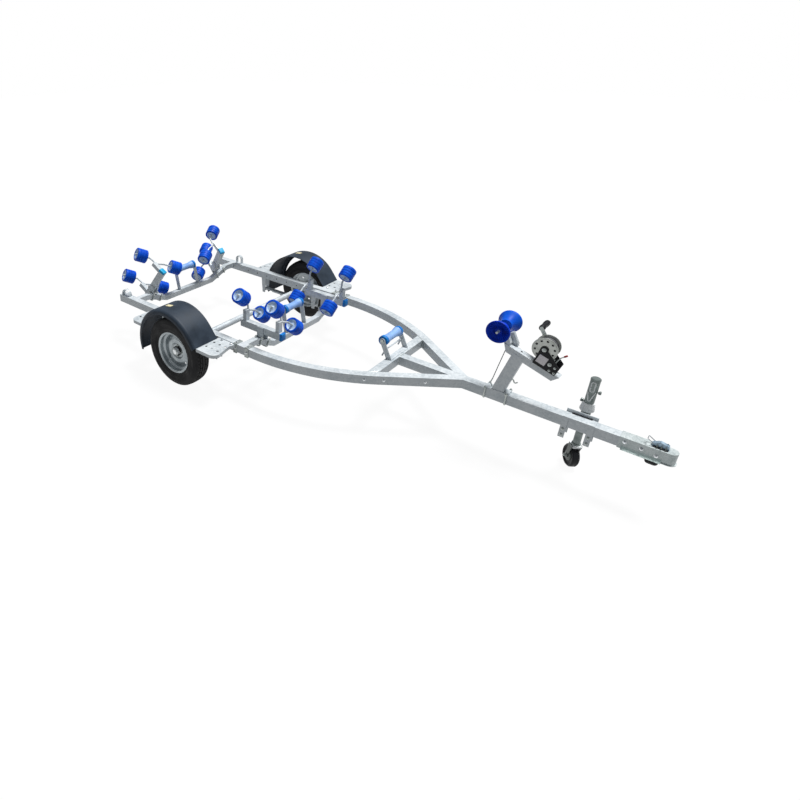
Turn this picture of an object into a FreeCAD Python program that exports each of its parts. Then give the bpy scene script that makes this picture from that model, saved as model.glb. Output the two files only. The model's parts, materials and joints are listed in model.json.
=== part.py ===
import FreeCAD, Part
import Sketcher
import math
import os

# A single-axle boat trailer on its jockey wheel.
# Millimetres, +X towards the coupling, +Y to the left, +Z up.
# The origin is on the floor under the middle of the trailer's overall box.

Vector = FreeCAD.Vector
Rotation = FreeCAD.Rotation
Placement = FreeCAD.Placement

# name, value, what it is
sizes = [
    ("axleX", -1047.3, "axle line, behind the origin"),
    ("hubHeight", 304, "wheel centre above the floor"),
    ("railTop", 453, "top of the rails and drawbar"),
    ("railHigh", 70, "rail section height"),
    ("railWide", 65, "rail section width"),
    ("railOut", 720, "outer face of a rail from the middle"),
    ("railBack", 1058, "rear end of the rails behind the axle"),
    ("railFront", 627, "end of the straight rail ahead of the axle"),
    ("bendRadius", 1552, "outer face radius of the rail's bend"),
    ("bendAngle", 37.8, "turn of the rail's bend in degrees"),
    ("tubeWall", 3, "wall of every frame tube"),
    ("drawbarWide", 70, "drawbar section width"),
    ("drawbarFront", 3130, "drawbar's front end ahead of the axle"),
    ("frontBeamX", 1480, "rear face of the front crossmember ahead of the axle"),
    ("beamDeep", 65, "front crossmember along X"),
    ("bentDeep", 50, "bent crossmember along X"),
    ("bentHigh", 50, "bent crossmember section height"),
    ("bentLevel", 320, "half of their level middle"),
    ("bentShoulder", 540, "where their level ends begin, from the middle"),
    ("middleDrop", 100, "dip of the middle crossmember"),
    ("rearDrop", 78, "dip of the rear crossmember"),
    ("middleBeamX", 500, "rear face of the middle crossmember ahead of the axle"),
    ("rearBeamX", -884, "rear face of the rear crossmember from the axle"),
    ("hangerFront", 240, "front spring hanger ahead of the axle"),
    ("hangerRear", 400, "rear spring hanger behind the axle"),
    ("hangerWide", 60, "spring hanger along X"),
    ("hangerWall", 6, "spring hanger plate"),
    ("hangerLow", 228, "lower end of a spring hanger"),
    ("eyeHeight", 256, "spring eye centre height"),
    ("eyeRadius", 16, "outer radius of a spring eye"),
    ("eyePin", 7, "radius of a spring eye's bolt"),
    ("leafWide", 50, "leaf width"),
    ("leafThick", 8, "one leaf"),
    ("leafTop", 272, "top of the main leaf"),
    ("leafShare", 0.27, "each lower leaf is shorter by this share of the main one"),
    ("axleRadius", 28, "axle tube radius"),
    ("axleHalf", 790, "half of the axle tube's length"),
    ("saddleLong", 100, "axle saddle along X"),
    ("stubRadius", 20, "stub axle radius"),
    ("stubEnd", 934, "outer end of a stub axle from the middle"),
    ("stubPlate", 14, "plate that joins axle tube and stub"),
    ("wheelOut", 915, "middle plane of a wheel from the middle"),
    ("tyreRadius", 304, "tyre radius"),
    ("tyreHalf", 81, "half of the tyre's width"),
    ("treadHalf", 62, "half of the tread's width"),
    ("wallRound", 128, "radius of the tyre's side wall seen in section"),
    ("beadRadius", 169.3, "tyre bead radius"),
    ("lipRadius", 182, "rim lip radius"),
    ("rimHalf", 70, "half of the rim's width"),
    ("rimGauge", 4, "rim sheet"),
    ("wellDrop", 17, "depth of the rim's well below its bead seats"),
    ("wellSeat", 34, "inner end of a bead seat from the rim's middle"),
    ("wellFlat", 24, "half width of the rim's well"),
    ("discRadius", 104, "outer radius of the wheel disc's dish"),
    ("discCrown", 76, "radius of the wheel disc's raised middle"),
    ("discFace", 22, "front of the wheel disc from the rim's middle"),
    ("ventRadius", 9, "round vent hole in the wheel disc"),
    ("ventCircle", 126, "radius of the vent holes' circle"),
    ("studCircle", 50, "radius of the stud circle"),
    ("studRadius", 6.3, "stud hole in the wheel disc"),
    ("hubRadius", 38, "hub barrel radius"),
    ("flangeRadius", 66, "hub flange radius"),
    ("runFit", 0.05, "radial clearance of a shaft in its bore"),
    ("easeFit", 0.3, "clearance between curved faces of different bodies"),
    ("guardX", -65, "mudguard circle's centre from the axle"),
    ("guardUp", 1, "mudguard circle's centre above the hub"),
    ("guardGap", 61, "mudguard's outer radius beyond the tyre's"),
    ("guardIn", 745, "mudguard's inner edge from the middle"),
    ("guardProud", 9, "mudguard's outer edge beyond the tyre"),
    ("guardStart", 40, "angle at which the round part starts, degrees"),
    ("guardSweep", 157, "angle of the round part, degrees"),
    ("guardWall", 4, "mudguard thickness"),
    ("guardLip", 14, "turned-down outer lip"),
    ("guardRound", 30, "rounding of the outer shoulder"),
    ("stepOut", 985, "outer edge of a step plate from the middle"),
    ("stepFront", 490, "front edge of the front step plate"),
    ("tailBack", -550, "rear edge of the rear step plate"),
    ("stepTop", 447, "top of a step plate"),
    ("stepThick", 4, "step plate sheet"),
    ("stepLip", 24, "turned-down lip of a step plate"),
    ("stepHole", 11, "radius of a grip hole"),
    ("stepCorner", 60, "rounding of a step plate's corner"),
    ("stepWaist", 34, "how far the front step plate's free edge is drawn in beside the rail"),
    ("waistOut", 60, "place of that waist from the rail's outer face"),
    ("strapThick", 5, "light bracket strap"),
    ("strapWide", 34, "light bracket across"),
    ("keelRadius", 40, "keel roller radius"),
    ("keelHalf", 122, "half of a keel roller's length"),
    ("keelPin", 10, "keel roller's axle radius"),
    ("keelPlate", 6, "keel roller bracket plate"),
    ("keelPlateWide", 46, "keel roller bracket plate along X"),
    ("keelGap", 2, "roller end to bracket plate"),
    ("frontKeelX", 1438, "front keel roller ahead of the axle"),
    ("frontKeelZ", 585, "front keel roller height"),
    ("middleKeelX", 482, "middle keel roller ahead of the axle"),
    ("middleKeelZ", 550, "middle keel roller height"),
    ("rearKeelX", -905, "rear keel roller from the axle"),
    ("rearKeelZ", 570, "rear keel roller height"),
    ("armHigh", 60, "carriage arm section height"),
    ("armWide", 50, "carriage arm section width"),
    ("pivotRadius", 8, "carriage pivot bolt radius"),
    ("pivotTop", 28, "bracket plate above the pivot"),
    ("pivotPlate", 6, "carriage bracket plate"),
    ("pivotWide", 64, "carriage bracket plate along X"),
    ("pivotGap", 2, "arm side to bracket plate"),
    ("clampWide", 124, "carriage bracket base along Y"),
    ("clampThick", 6, "carriage bracket base thickness"),
    ("rodRadius", 8, "roller rod radius"),
    ("rodBend", 26, "bend radius of a roller rod"),
    ("rodSpan", 118, "from the middle of a rod's end straight to its bend"),
    ("outerSide", 60, "upper roller's middle outside the arm"),
    ("outerUp", 253, "upper roller's middle above the pivot"),
    ("innerSide", -201, "lower roller's middle from the arm"),
    ("innerUp", 7, "lower roller's middle above the pivot"),
    ("rollerTilt", 38, "tilt of the hull rollers' axles, degrees"),
    ("rockerWide", 36, "rocker bracket along X"),
    ("rockerSide", -26, "rocker's bolt from the arm's middle"),
    ("rockerUp", 112, "rocker's bolt above the pivot"),
    ("hullRadius", 65, "hull roller radius"),
    ("hullHalf", 52, "half of a hull roller's width"),
    ("hullGroove", 3, "groove depth round a hull roller"),
    ("hullDish", 9, "dish of a hull roller's end faces"),
    ("rodProud", 12, "rod end proud of its roller"),
    ("postBack", 2237, "rear edge of the winch post at its foot"),
    ("postFront", 2316, "front edge of the winch post at its foot"),
    ("postLean", 14.5, "forward lean of the winch post, degrees"),
    ("postWide", 60, "winch post across"),
    ("baseThick", 10, "winch post's base plate"),
    ("baseBack", 2190, "rear edge of the base plate"),
    ("baseFront", 2352, "front edge of the base plate"),
    ("headBack", 2252, "rear end of the sloping head beam"),
    ("headTop", 821, "top of the head beam at its rear end"),
    ("headSlope", 18.5, "slope of the head beam, degrees"),
    ("headLong", 384, "head beam length"),
    ("headSlant", 28, "how far the front end of the head beam is cut back at its lower edge"),
    ("headDeep", 50, "head beam depth"),
    ("headCut", 40, "slant of the head beam's rear end"),
    ("headWide", 56, "head beam across"),
    ("bowX", 2223, "bow roller ahead of the axle"),
    ("bowZ", 922, "bow roller height"),
    ("bowRadius", 77, "bow roller's large radius"),
    ("bowNeck", 40, "bow roller's small radius"),
    ("bowIn", 24, "inner face of a bow roller from the middle"),
    ("bowOut", 114, "outer face of a bow roller from the middle"),
    ("stemThick", 14, "bow roller's stem along X"),
    ("winchAlong", 219, "drum axis along the head beam from its rear end"),
    ("winchUp", 119, "drum axis above the head beam"),
    ("winchHalf", 44, "outer face of a winch side plate"),
    ("winchWall", 5, "winch side plate"),
    ("winchRear", 14, "winch frame behind the drum axis along the beam"),
    ("winchFront", 134, "winch frame ahead of the drum axis along the beam"),
    ("gearRadius", 77, "drum gear radius"),
    ("pinionRadius", 23, "pinion radius"),
    ("drumRadius", 28, "drum core radius"),
    ("shaftRadius", 9, "drum shaft radius"),
    ("pinionAlong", 75, "pinion axis ahead of the drum axis along the beam"),
    ("crankLong", 213, "crank arm length"),
    ("crankAngle", 124, "crank arm's angle up from +X, degrees"),
    ("gripLong", 112, "crank grip length"),
    ("gripRadius", 17, "crank grip radius"),
    ("jackX", 2785, "jack axis ahead of the axle"),
    ("jackY", 134, "jack axis left of the middle"),
    ("jackRadius", 29, "jack outer tube radius"),
    ("jackTop", 694, "top of the jack tube"),
    ("jackLow", 292, "lower end of the jack tube"),
    ("jackPivotZ", 400, "height of the jack's swing pivot"),
    ("swivelRadius", 34, "boss that joins the jack tube to its swing pivot"),
    ("legRadius", 23, "jack inner tube radius"),
    ("legTop", 585, "upper end of the inner tube"),
    ("legLow", 180, "lower end of the inner tube"),
    ("kingRadius", 8, "fork's swivel pin radius"),
    ("kingLong", 30, "fork's swivel pin length"),
    ("jockeyRadius", 78, "jockey wheel radius"),
    ("jockeyHalf", 24, "half of the jockey wheel's width"),
    ("jockeyTrail", 15, "jockey axle behind the swivel"),
    ("jockeyPin", 8, "jockey wheel axle radius"),
    ("jockeyTurn", 38, "angle of the jockey wheel's axle from Y, degrees"),
    ("forkWall", 5, "fork plate"),
    ("couplerBack", 3012, "rear edge of the coupling ahead of the axle"),
    ("couplerNose", 3303, "nose of the coupling ahead of the axle"),
    ("couplerWall", 4, "coupling shell"),
    ("couplerLow", 378, "lower edge of the coupling"),
    ("couplerFlange", 7, "turned-out lower lip of the coupling"),
    ("noseRadius", 38, "half width of the coupling's head"),
    ("ballRadius", 25.3, "socket for a 50 mm towing ball"),
]

doc = FreeCAD.newDocument("BoatTrailer")
sheet = doc.addObject("Spreadsheet::Sheet", "Sizes")
for row, (alias, value, note) in enumerate(sizes, 1):
    sheet.set("A%d" % row, note)
    sheet.set("B%d" % row, str(value))
    sheet.setAlias("B%d" % row, alias)
doc.recompute()


# A length or angle that knows both its value and the spreadsheet expression that gives it.
class Size:
    def __init__(self, number, text):
        self.number = float(number)
        self.text = text

    def __float__(self):
        return self.number

    def __neg__(self):
        return Size(-self.number, "(-1 * %s)" % self.text)

    def __add__(self, other):
        other = asSize(other)
        return Size(self.number + other.number, "(%s + %s)" % (self.text, other.text))

    def __sub__(self, other):
        other = asSize(other)
        return Size(self.number - other.number, "(%s - %s)" % (self.text, other.text))

    def __mul__(self, other):
        other = asSize(other)
        return Size(self.number * other.number, "(%s * %s)" % (self.text, other.text))

    def __truediv__(self, other):
        other = asSize(other)
        return Size(self.number / other.number, "(%s / %s)" % (self.text, other.text))

    def __radd__(self, other):
        return asSize(other) + self

    def __rsub__(self, other):
        return asSize(other) - self

    def __rmul__(self, other):
        return asSize(other) * self


def asSize(value):
    if isinstance(value, Size):
        return value
    return Size(value, repr(float(value)))


def sine(angle):
    return Size(math.sin(math.radians(angle.number)), "sin(%s)" % angle.text)


def cosine(angle):
    return Size(math.cos(math.radians(angle.number)), "cos(%s)" % angle.text)


def tangent(angle):
    return sine(angle) / cosine(angle)


def root(value):
    return Size(math.sqrt(value.number), "sqrt(%s)" % value.text)


class Names:
    pass


s = Names()
for alias, value, note in sizes:
    setattr(s, alias, Size(sheet.get(alias), "Sizes." + alias))

parts = []
made = [0]


def keep(shape, label):
    shape.Label = label
    parts.append(shape)
    return shape


def nextName(kind):
    made[0] = made[0] + 1
    return "%s%d" % (kind, made[0])


def newBody():
    return doc.addObject("PartDesign::Body", nextName("Body"))


def arc(radius):
    return ("arc", asSize(radius))


# A closed outline is a list of (x, y) corners. An arc(radius) between two corners rounds that side:
# a positive radius turns left on the way to the next corner, a negative one turns right.
def sketchOn(body, plane, offset, outlines, circles=()):
    sketch = body.newObject("Sketcher::SketchObject", nextName("Sketch"))
    support = [item for item in body.Origin.OriginFeatures if item.Role == plane + "_Plane"][0]
    sketch.AttachmentSupport = [(support, "")]
    sketch.MapMode = "FlatFace"
    offset = asSize(offset)
    sketch.AttachmentOffset = Placement(Vector(0, 0, offset.number), Rotation())
    sketch.setExpression("AttachmentOffset.Base.z", offset.text)
    for outline in outlines:
        corners = []
        radii = {}
        for item in outline:
            if item[0] == "arc":
                radii[len(corners) - 1] = item[1]
            else:
                corners.append((asSize(item[0]), asSize(item[1])))
        first = sketch.GeometryCount
        count = len(corners)
        starts = []
        ends = []
        for index in range(count):
            a = Vector(corners[index][0].number, corners[index][1].number, 0)
            b = Vector(corners[(index + 1) % count][0].number, corners[(index + 1) % count][1].number, 0)
            if index in radii:
                radius = radii[index].number
                half = (b - a).Length / 2
                rise = abs(radius) - math.sqrt(max(radius * radius - half * half, 0))
                side = Vector(b.y - a.y, a.x - b.x, 0).normalize()
                way = 1 if radius > 0 else -1
                middle = (a + b) / 2 + side * (rise * way)
                sketch.addGeometry(Part.Arc(a, middle, b), False)
                starts.append(1 if radius > 0 else 2)
                ends.append(2 if radius > 0 else 1)
            else:
                sketch.addGeometry(Part.LineSegment(a, b), False)
                starts.append(1)
                ends.append(2)
        for index in range(count):
            following = (index + 1) % count
            sketch.addConstraint(Sketcher.Constraint(
                "Coincident", first + index, ends[index], first + following, starts[following]))
        for index in range(count):
            for way, value in zip(("DistanceX", "DistanceY"), corners[index]):
                number = sketch.addConstraint(Sketcher.Constraint(
                    way, -1, 1, first + index, starts[index], value.number))
                sketch.setExpression("Constraints[%d]" % number, value.text)
        for index, radius in radii.items():
            if radius.number < 0:
                radius = -radius
            a, b = corners[index], corners[(index + 1) % count]
            across = [b[0].number - a[0].number, b[1].number - a[1].number]
            if abs(math.hypot(*across) / 2 - radius.number) > 0.000001:
                number = sketch.addConstraint(Sketcher.Constraint("Radius", first + index, radius.number))
                sketch.setExpression("Constraints[%d]" % number, radius.text)
            else:
                # A half circle: its centre is held midway between its ends.
                axis = 0 if abs(across[1]) > abs(across[0]) else 1
                middle = (a[axis] + b[axis]) / 2
                way = ("DistanceX", "DistanceY")[axis]
                number = sketch.addConstraint(Sketcher.Constraint(
                    way, -1, 1, first + index, 3, middle.number))
                sketch.setExpression("Constraints[%d]" % number, middle.text)
    for x, y, radius in circles:
        x, y, radius = asSize(x), asSize(y), asSize(radius)
        ring = Part.Circle(Vector(x.number, y.number, 0), Vector(0, 0, 1), radius.number)
        circle = sketch.addGeometry(ring, False)
        for way, value in (("DistanceX", x), ("DistanceY", y)):
            number = sketch.addConstraint(Sketcher.Constraint(way, -1, 1, circle, 3, value.number))
            sketch.setExpression("Constraints[%d]" % number, value.text)
        number = sketch.addConstraint(Sketcher.Constraint("Radius", circle, radius.number))
        sketch.setExpression("Constraints[%d]" % number, radius.text)
    return sketch


# Pads a sketch by a length along its normal, or against it with back=True.
def pad(body, sketch, length, back=False, both=False):
    feature = body.newObject("PartDesign::Pad", nextName("Pad"))
    feature.Profile = sketch
    feature.Reversed = back
    if both:
        feature.SideType = "Symmetric"
    feature.setExpression("Length", asSize(length).text)
    return feature


# Cuts a sketch out along its normal, or against it with back=True.
def pocket(body, sketch, length, back=False, both=False):
    feature = body.newObject("PartDesign::Pocket", nextName("Pocket"))
    feature.Profile = sketch
    feature.Reversed = not back
    if both:
        feature.SideType = "Symmetric"
    feature.setExpression("Length", asSize(length).text)
    return feature


# Turns a sketch about its own vertical axis.
def turn(body, sketch, angle=360, back=False):
    feature = body.newObject("PartDesign::Revolution", nextName("Turn"))
    feature.Profile = sketch
    feature.ReferenceAxis = (sketch, ["V_Axis"])
    feature.Reversed = back
    feature.setExpression("Angle", asSize(angle).text)
    return feature


def at(shape, x, y, z, rotation=Rotation()):
    shape.Placement = Placement(Vector(float(x), float(y), float(z)), rotation)
    return shape


def box(long, wide, high):
    shape = doc.addObject("Part::Box", nextName("Box"))
    for side, value in (("Length", long), ("Width", wide), ("Height", high)):
        shape.setExpression(side, asSize(value).text)
    return shape


def rod(radius, length):
    shape = doc.addObject("Part::Cylinder", nextName("Rod"))
    shape.setExpression("Radius", asSize(radius).text)
    shape.setExpression("Height", asSize(length).text)
    return shape


def fuse(shapes):
    shape = doc.addObject("Part::MultiFuse", nextName("Fuse"))
    shape.Shapes = shapes
    return shape


def together(shapes):
    shape = doc.addObject("Part::Compound", nextName("Group"))
    shape.Links = shapes
    return shape


def cut(base, tool):
    shape = doc.addObject("Part::Cut", nextName("Cut"))
    shape.Base = base
    shape.Tool = tool
    return shape


# A round rod bent at each inner point of its route.
def bentRod(points, radius, bend):
    edges = []
    start = points[0]
    for before, corner, after in zip(points, points[1:], points[2:]):
        inward = (before - corner).normalize()
        outward = (after - corner).normalize()
        turnAngle = math.pi - inward.getAngle(outward)
        reach = bend * math.tan(turnAngle / 2)
        first = corner + inward * reach
        last = corner + outward * reach
        bisector = (inward + outward).normalize()
        centre = corner + bisector * (bend / math.cos(turnAngle / 2))
        edges.append(Part.LineSegment(start, first).toShape())
        edges.append(Part.Arc(first, centre - bisector * bend, last).toShape())
        start = last
    edges.append(Part.LineSegment(start, points[-1]).toShape())
    circle = Part.Circle(points[0], points[1] - points[0], radius)
    return Part.Wire(edges).makePipeShell([Part.Wire([circle.toShape()])], True, False)


along = Rotation(Vector(1, 0, 0), -90)      # turns +Z to +Y
faceRight = Rotation(Vector(0, 0, 1), 180)  # turns +Y to -Y
sides = [("right", -1), ("left", 1)]        # name, sign of Y

railLow = s.railTop - s.railHigh
drawbarSide = s.drawbarWide / 2
bendStart = s.axleX + s.railFront
bendCentre = s.railOut - s.bendRadius
hangers = (-s.hangerRear, s.hangerFront)


# The outline of a rail seen from above, moved inwards by inset on both long sides.
def railOutline(sign, inset, overrun):
    outer = s.bendRadius - inset
    inner = s.bendRadius - s.railWide + inset
    start = s.axleX - s.railBack - overrun
    meet = drawbarSide - overrun
    corners = []
    for radius in (outer, inner):
        endX = bendStart + radius * sine(s.bendAngle)
        endY = bendCentre + radius * cosine(s.bendAngle)
        meetX = endX + (endY - meet) / tangent(s.bendAngle)
        side = bendCentre + radius
        corners.append([(start, side), (bendStart, side), (endX, endY), (meetX, meet)])
    far, near = corners
    route = [
        far[0], far[1], arc(-sign * outer), far[2], far[3],
        near[3], near[2], arc(sign * inner), near[1], near[0]]
    return [item if item[0] == "arc" else (item[0], sign * item[1]) for item in route]


for side, sign in sides:
    rail = newBody()
    pad(rail, sketchOn(rail, "XY", railLow, [railOutline(sign, 0, 0)]), s.railHigh)
    hollow = sketchOn(rail, "XY", railLow + s.tubeWall, [railOutline(sign, s.tubeWall, s.tubeWall)])
    pocket(rail, hollow, s.railHigh - 2 * s.tubeWall)
    # Spring hangers: two plates before and two behind the axle, under the rail.
    for face in (s.railOut - s.hangerWall, s.railOut - s.railWide):
        plates = []
        for ahead in hangers:
            middle = s.axleX + ahead
            plates.append([
                (middle - s.hangerWide / 2, railLow), (middle + s.hangerWide / 2, railLow),
                (middle + s.hangerWide / 4, s.hangerLow), (middle - s.hangerWide / 4, s.hangerLow)])
        # The XZ plane's normal points along -Y.
        start = -face if sign > 0 else face
        holes = [(s.axleX + ahead, s.eyeHeight, s.eyePin) for ahead in hangers]
        pad(rail, sketchOn(rail, "XZ", start, plates, holes), s.hangerWall, back=sign > 0)
    keep(rail, "rail_" + side)

drawbarBack = s.axleX + s.frontBeamX + s.beamDeep
drawbar = newBody()
section = []
for inset in (0, s.tubeWall):
    section.append([
        (inset - drawbarSide, railLow + inset), (drawbarSide - inset, railLow + inset),
        (drawbarSide - inset, s.railTop - inset), (inset - drawbarSide, s.railTop - inset)])
pad(drawbar, sketchOn(drawbar, "YZ", drawbarBack, section), s.drawbarFront + s.axleX - drawbarBack)
keep(drawbar, "drawbar")


# Half width between the rails' inner faces at a distance ahead of the axle, on the bend.
def insideRail(ahead):
    radius = s.bendRadius - s.railWide
    return bendCentre + root(radius * radius - (ahead - s.railFront) * (ahead - s.railFront))


frontBeam = newBody()
frontX = s.axleX + s.frontBeamX
backHalf = insideRail(s.frontBeamX)
frontHalf = insideRail(s.frontBeamX + s.beamDeep)
outline = [
    (frontX, -backHalf), (frontX + s.beamDeep, -frontHalf),
    (frontX + s.beamDeep, frontHalf), (frontX, backHalf)]
pad(frontBeam, sketchOn(frontBeam, "XY", railLow, [outline]), s.railHigh)
keep(frontBeam, "front_crossmember")

beamEnd = s.railOut - s.railWide
bentEnd = s.railTop - s.bentHigh
middleLow = bentEnd - s.middleDrop
rearLow = bentEnd - s.rearDrop


# Top height of a bent crossmember's slope at a distance from the middle.
def bentTop(drop, side):
    return s.railTop - drop * (s.bentShoulder - side) / (s.bentShoulder - s.bentLevel)


# Section of a bent crossmember across the trailer: level ends, two slopes and a level middle.
def bentOutline(drop, inset):
    under = [(beamEnd, bentEnd), (s.bentShoulder, bentEnd), (s.bentLevel, bentEnd - drop)]
    right = [(-y, z + inset) for y, z in under]
    left = [(y, z + inset) for y, z in reversed(under)]
    rise = s.bentHigh - 2 * inset
    top = [(y, z + rise) for y, z in reversed(right + left)]
    return right + left + top


bentBeams = [
    ("middle_crossmember", s.middleBeamX, s.middleDrop),
    ("rear_crossmember", s.rearBeamX, s.rearDrop),
]
for label, behind, drop in bentBeams:
    beam = newBody()
    pad(beam, sketchOn(beam, "YZ", s.axleX + behind, [bentOutline(drop, 0)]), s.bentDeep)
    hollow = sketchOn(beam, "YZ", s.axleX + behind + s.tubeWall, [bentOutline(drop, s.tubeWall)])
    pocket(beam, hollow, s.bentDeep - 2 * s.tubeWall)
    keep(beam, label)

# Axle: a round tube with a saddle over each spring, end plates and the two stub axles.
axleZ = s.hubHeight + s.axleRadius
tube = at(rod(s.axleRadius, 2 * s.axleHalf), s.axleX, -s.axleHalf, axleZ, along)
pieces = [tube]
springY = s.railOut - s.railWide / 2
for side, sign in sides:
    low = s.leafTop
    saddle = box(s.saddleLong, s.leafWide, axleZ - low)
    pieces.append(at(saddle, s.axleX - s.saddleLong / 2, sign * springY - s.leafWide / 2, low))
    plateY = s.axleHalf if sign > 0 else -s.axleHalf - s.stubPlate
    plate = box(2.4 * s.axleRadius, s.stubPlate, s.axleRadius + axleZ - s.hubHeight + s.stubRadius + 8)
    pieces.append(at(plate, s.axleX - 1.2 * s.axleRadius, plateY, s.hubHeight - s.stubRadius - 6))
    stub = rod(s.stubRadius, s.stubEnd - s.axleHalf)
    pieces.append(at(stub, s.axleX, s.axleHalf if sign > 0 else -s.stubEnd, s.hubHeight, along))
keep(fuse(pieces), "axle")

# Leaf springs: three leaves, an eye and its bolt at each end, and a clamp plate under the middle.
for side, sign in sides:
    spring = newBody()
    half = s.leafWide / 2
    start = -sign * springY - half
    main = [
        (s.axleX - s.hangerRear, s.leafTop - s.leafThick),
        (s.axleX + s.hangerFront, s.leafTop - s.leafThick),
        (s.axleX + s.hangerFront, s.leafTop), (s.axleX - s.hangerRear, s.leafTop)]
    pad(spring, sketchOn(spring, "XZ", start, [main]), s.leafWide)
    for number in (1, 2):
        share = 1 - number * s.leafShare
        leafBack = s.axleX - share * s.hangerRear
        leafFront = s.axleX + share * s.hangerFront
        top = s.leafTop - number * s.leafThick
        leaf = [
            (leafBack, top - s.leafThick), (leafFront, top - s.leafThick),
            (leafFront, top), (leafBack, top)]
        pad(spring, sketchOn(spring, "XZ", start, [leaf]), s.leafWide)
    clampTop = s.leafTop - 3 * s.leafThick
    clamp = [
        (s.axleX - s.saddleLong / 2, clampTop - 10), (s.axleX + s.saddleLong / 2, clampTop - 10),
        (s.axleX + s.saddleLong / 2, clampTop), (s.axleX - s.saddleLong / 2, clampTop)]
    pad(spring, sketchOn(spring, "XZ", start - 10, [clamp]), s.leafWide + 20)
    eyes = [(s.axleX + ahead, s.eyeHeight, s.eyeRadius) for ahead in hangers]
    pad(spring, sketchOn(spring, "XZ", start, [], eyes), s.leafWide)
    bolts = [(s.axleX + ahead, s.eyeHeight, s.eyePin - s.runFit) for ahead in hangers]
    pad(spring, sketchOn(spring, "XZ", -sign * springY - s.railWide / 2, [], bolts), s.railWide)
    keep(spring, "spring_" + side)

# Wheels. Each profile is (radius, distance outwards from the wheel's middle plane).
for side, sign in sides:
    facing = Rotation() if sign > 0 else faceRight
    tyre = newBody()
    shoulder = s.tyreRadius - 13
    bead = s.beadRadius
    beadHalf = s.rimHalf - 12
    wall = s.tyreHalf - 10
    inside = s.tyreRadius - 14
    profile = [
        (bead, beadHalf), (s.lipRadius, s.rimHalf - 5), (s.lipRadius + 4, s.rimHalf), arc(-s.wallRound),
        (shoulder, s.treadHalf + 10), (s.tyreRadius, s.treadHalf), (s.tyreRadius, -s.treadHalf),
        (shoulder, -s.treadHalf - 10), arc(-s.wallRound), (s.lipRadius + 4, -s.rimHalf),
        (s.lipRadius, 5 - s.rimHalf), (bead, -beadHalf), (bead, 14 - beadHalf),
        (s.lipRadius + 2, 18 - beadHalf), (inside - 16, 18 - wall), (inside, 26 - wall),
        (inside, wall - 26),
        (inside - 16, wall - 18), (s.lipRadius + 2, beadHalf - 18), (bead, beadHalf - 14)]
    turn(tyre, sketchOn(tyre, "XY", 0, [profile]))
    at(tyre, s.axleX, sign * s.wheelOut, s.hubHeight, facing)
    keep(tyre, "tyre_" + side)

    rim = newBody()
    lip = s.lipRadius
    half = s.rimHalf
    seat = bead - s.easeFit
    well = seat - s.wellDrop
    ledge = s.wellSeat
    floor = s.wellFlat
    gauge = s.rimGauge
    bore = s.hubRadius + s.easeFit
    dish = s.discRadius
    crown = s.discCrown
    face = s.discFace
    profile = [
        (lip, half), (lip, half - 4), (seat, half - 11), (seat, ledge), (well, floor), (well, -floor),
        (seat, -ledge), (seat, 11 - half), (lip, 4 - half), (lip, -half), (lip - gauge, -half),
        (seat - gauge, 6 - half), (seat - gauge, 2 - ledge), (well - gauge, 2 - floor), (well - gauge, -2),
        (dish - 2, face - 6), (crown, face - 6), (crown - 14, 4), (bore, 4), (bore, 10), (crown - 16, 10),
        (crown - 3, face), (dish, face), (well - gauge, 5), (well - gauge, floor - 2),
        (seat - gauge, ledge - 2), (seat - gauge, half - 6), (lip - gauge, half)]
    turn(rim, sketchOn(rim, "XY", 0, [profile]))
    vents = []
    for number in range(8):
        angle = asSize(number * 45)
        vents.append((s.ventCircle * cosine(angle), s.ventCircle * sine(angle), s.ventRadius))
    studs = []
    for number in range(4):
        angle = asSize(number * 90)
        studs.append((s.studCircle * cosine(angle), s.studCircle * sine(angle), s.studRadius))
    pocket(rim, sketchOn(rim, "XZ", 0, [], vents + studs), 60, both=True)
    at(rim, s.axleX, sign * s.wheelOut, s.hubHeight, facing)
    keep(rim, "rim_" + side)

    # Hub: bearing barrel on the stub axle, flange behind the wheel disc and a closed dust cap.
    hub = newBody()
    hole = s.stubRadius + s.runFit
    back = s.axleHalf + s.stubPlate + 10 - s.wheelOut
    end = s.stubEnd - s.wheelOut + 2
    profile = [
        (hole, back), (s.hubRadius - 4, back), (s.hubRadius, back + 8), (s.hubRadius, -9),
        (s.flangeRadius, -9), (s.flangeRadius, 4), (s.hubRadius, 4), (s.hubRadius, 24),
        (s.hubRadius - 6, 26), (s.hubRadius - 6, 44), (s.hubRadius - 12, 50), (0, 50), (0, end),
        (hole, end)]
    turn(hub, sketchOn(hub, "XY", 0, [profile]))
    at(hub, s.axleX, sign * s.wheelOut, s.hubHeight, facing)
    keep(hub, "hub_" + side)

guardOut = s.wheelOut + s.tyreHalf + s.guardProud
guardZ = s.hubHeight + s.guardUp
guardRadius = s.tyreRadius + s.guardGap
guardEdge = guardRadius - s.guardWall
guardFoot = (guardZ + guardEdge * sine(s.guardStart) - s.stepTop) / cosine(s.guardStart)
footX = s.guardX + guardEdge * cosine(s.guardStart) + guardFoot * sine(s.guardStart)
lipDrop = s.stepTop - s.stepThick - s.stepLip - guardZ
tailX = s.guardX - root(guardRadius * guardRadius - lipDrop * lipDrop)

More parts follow.
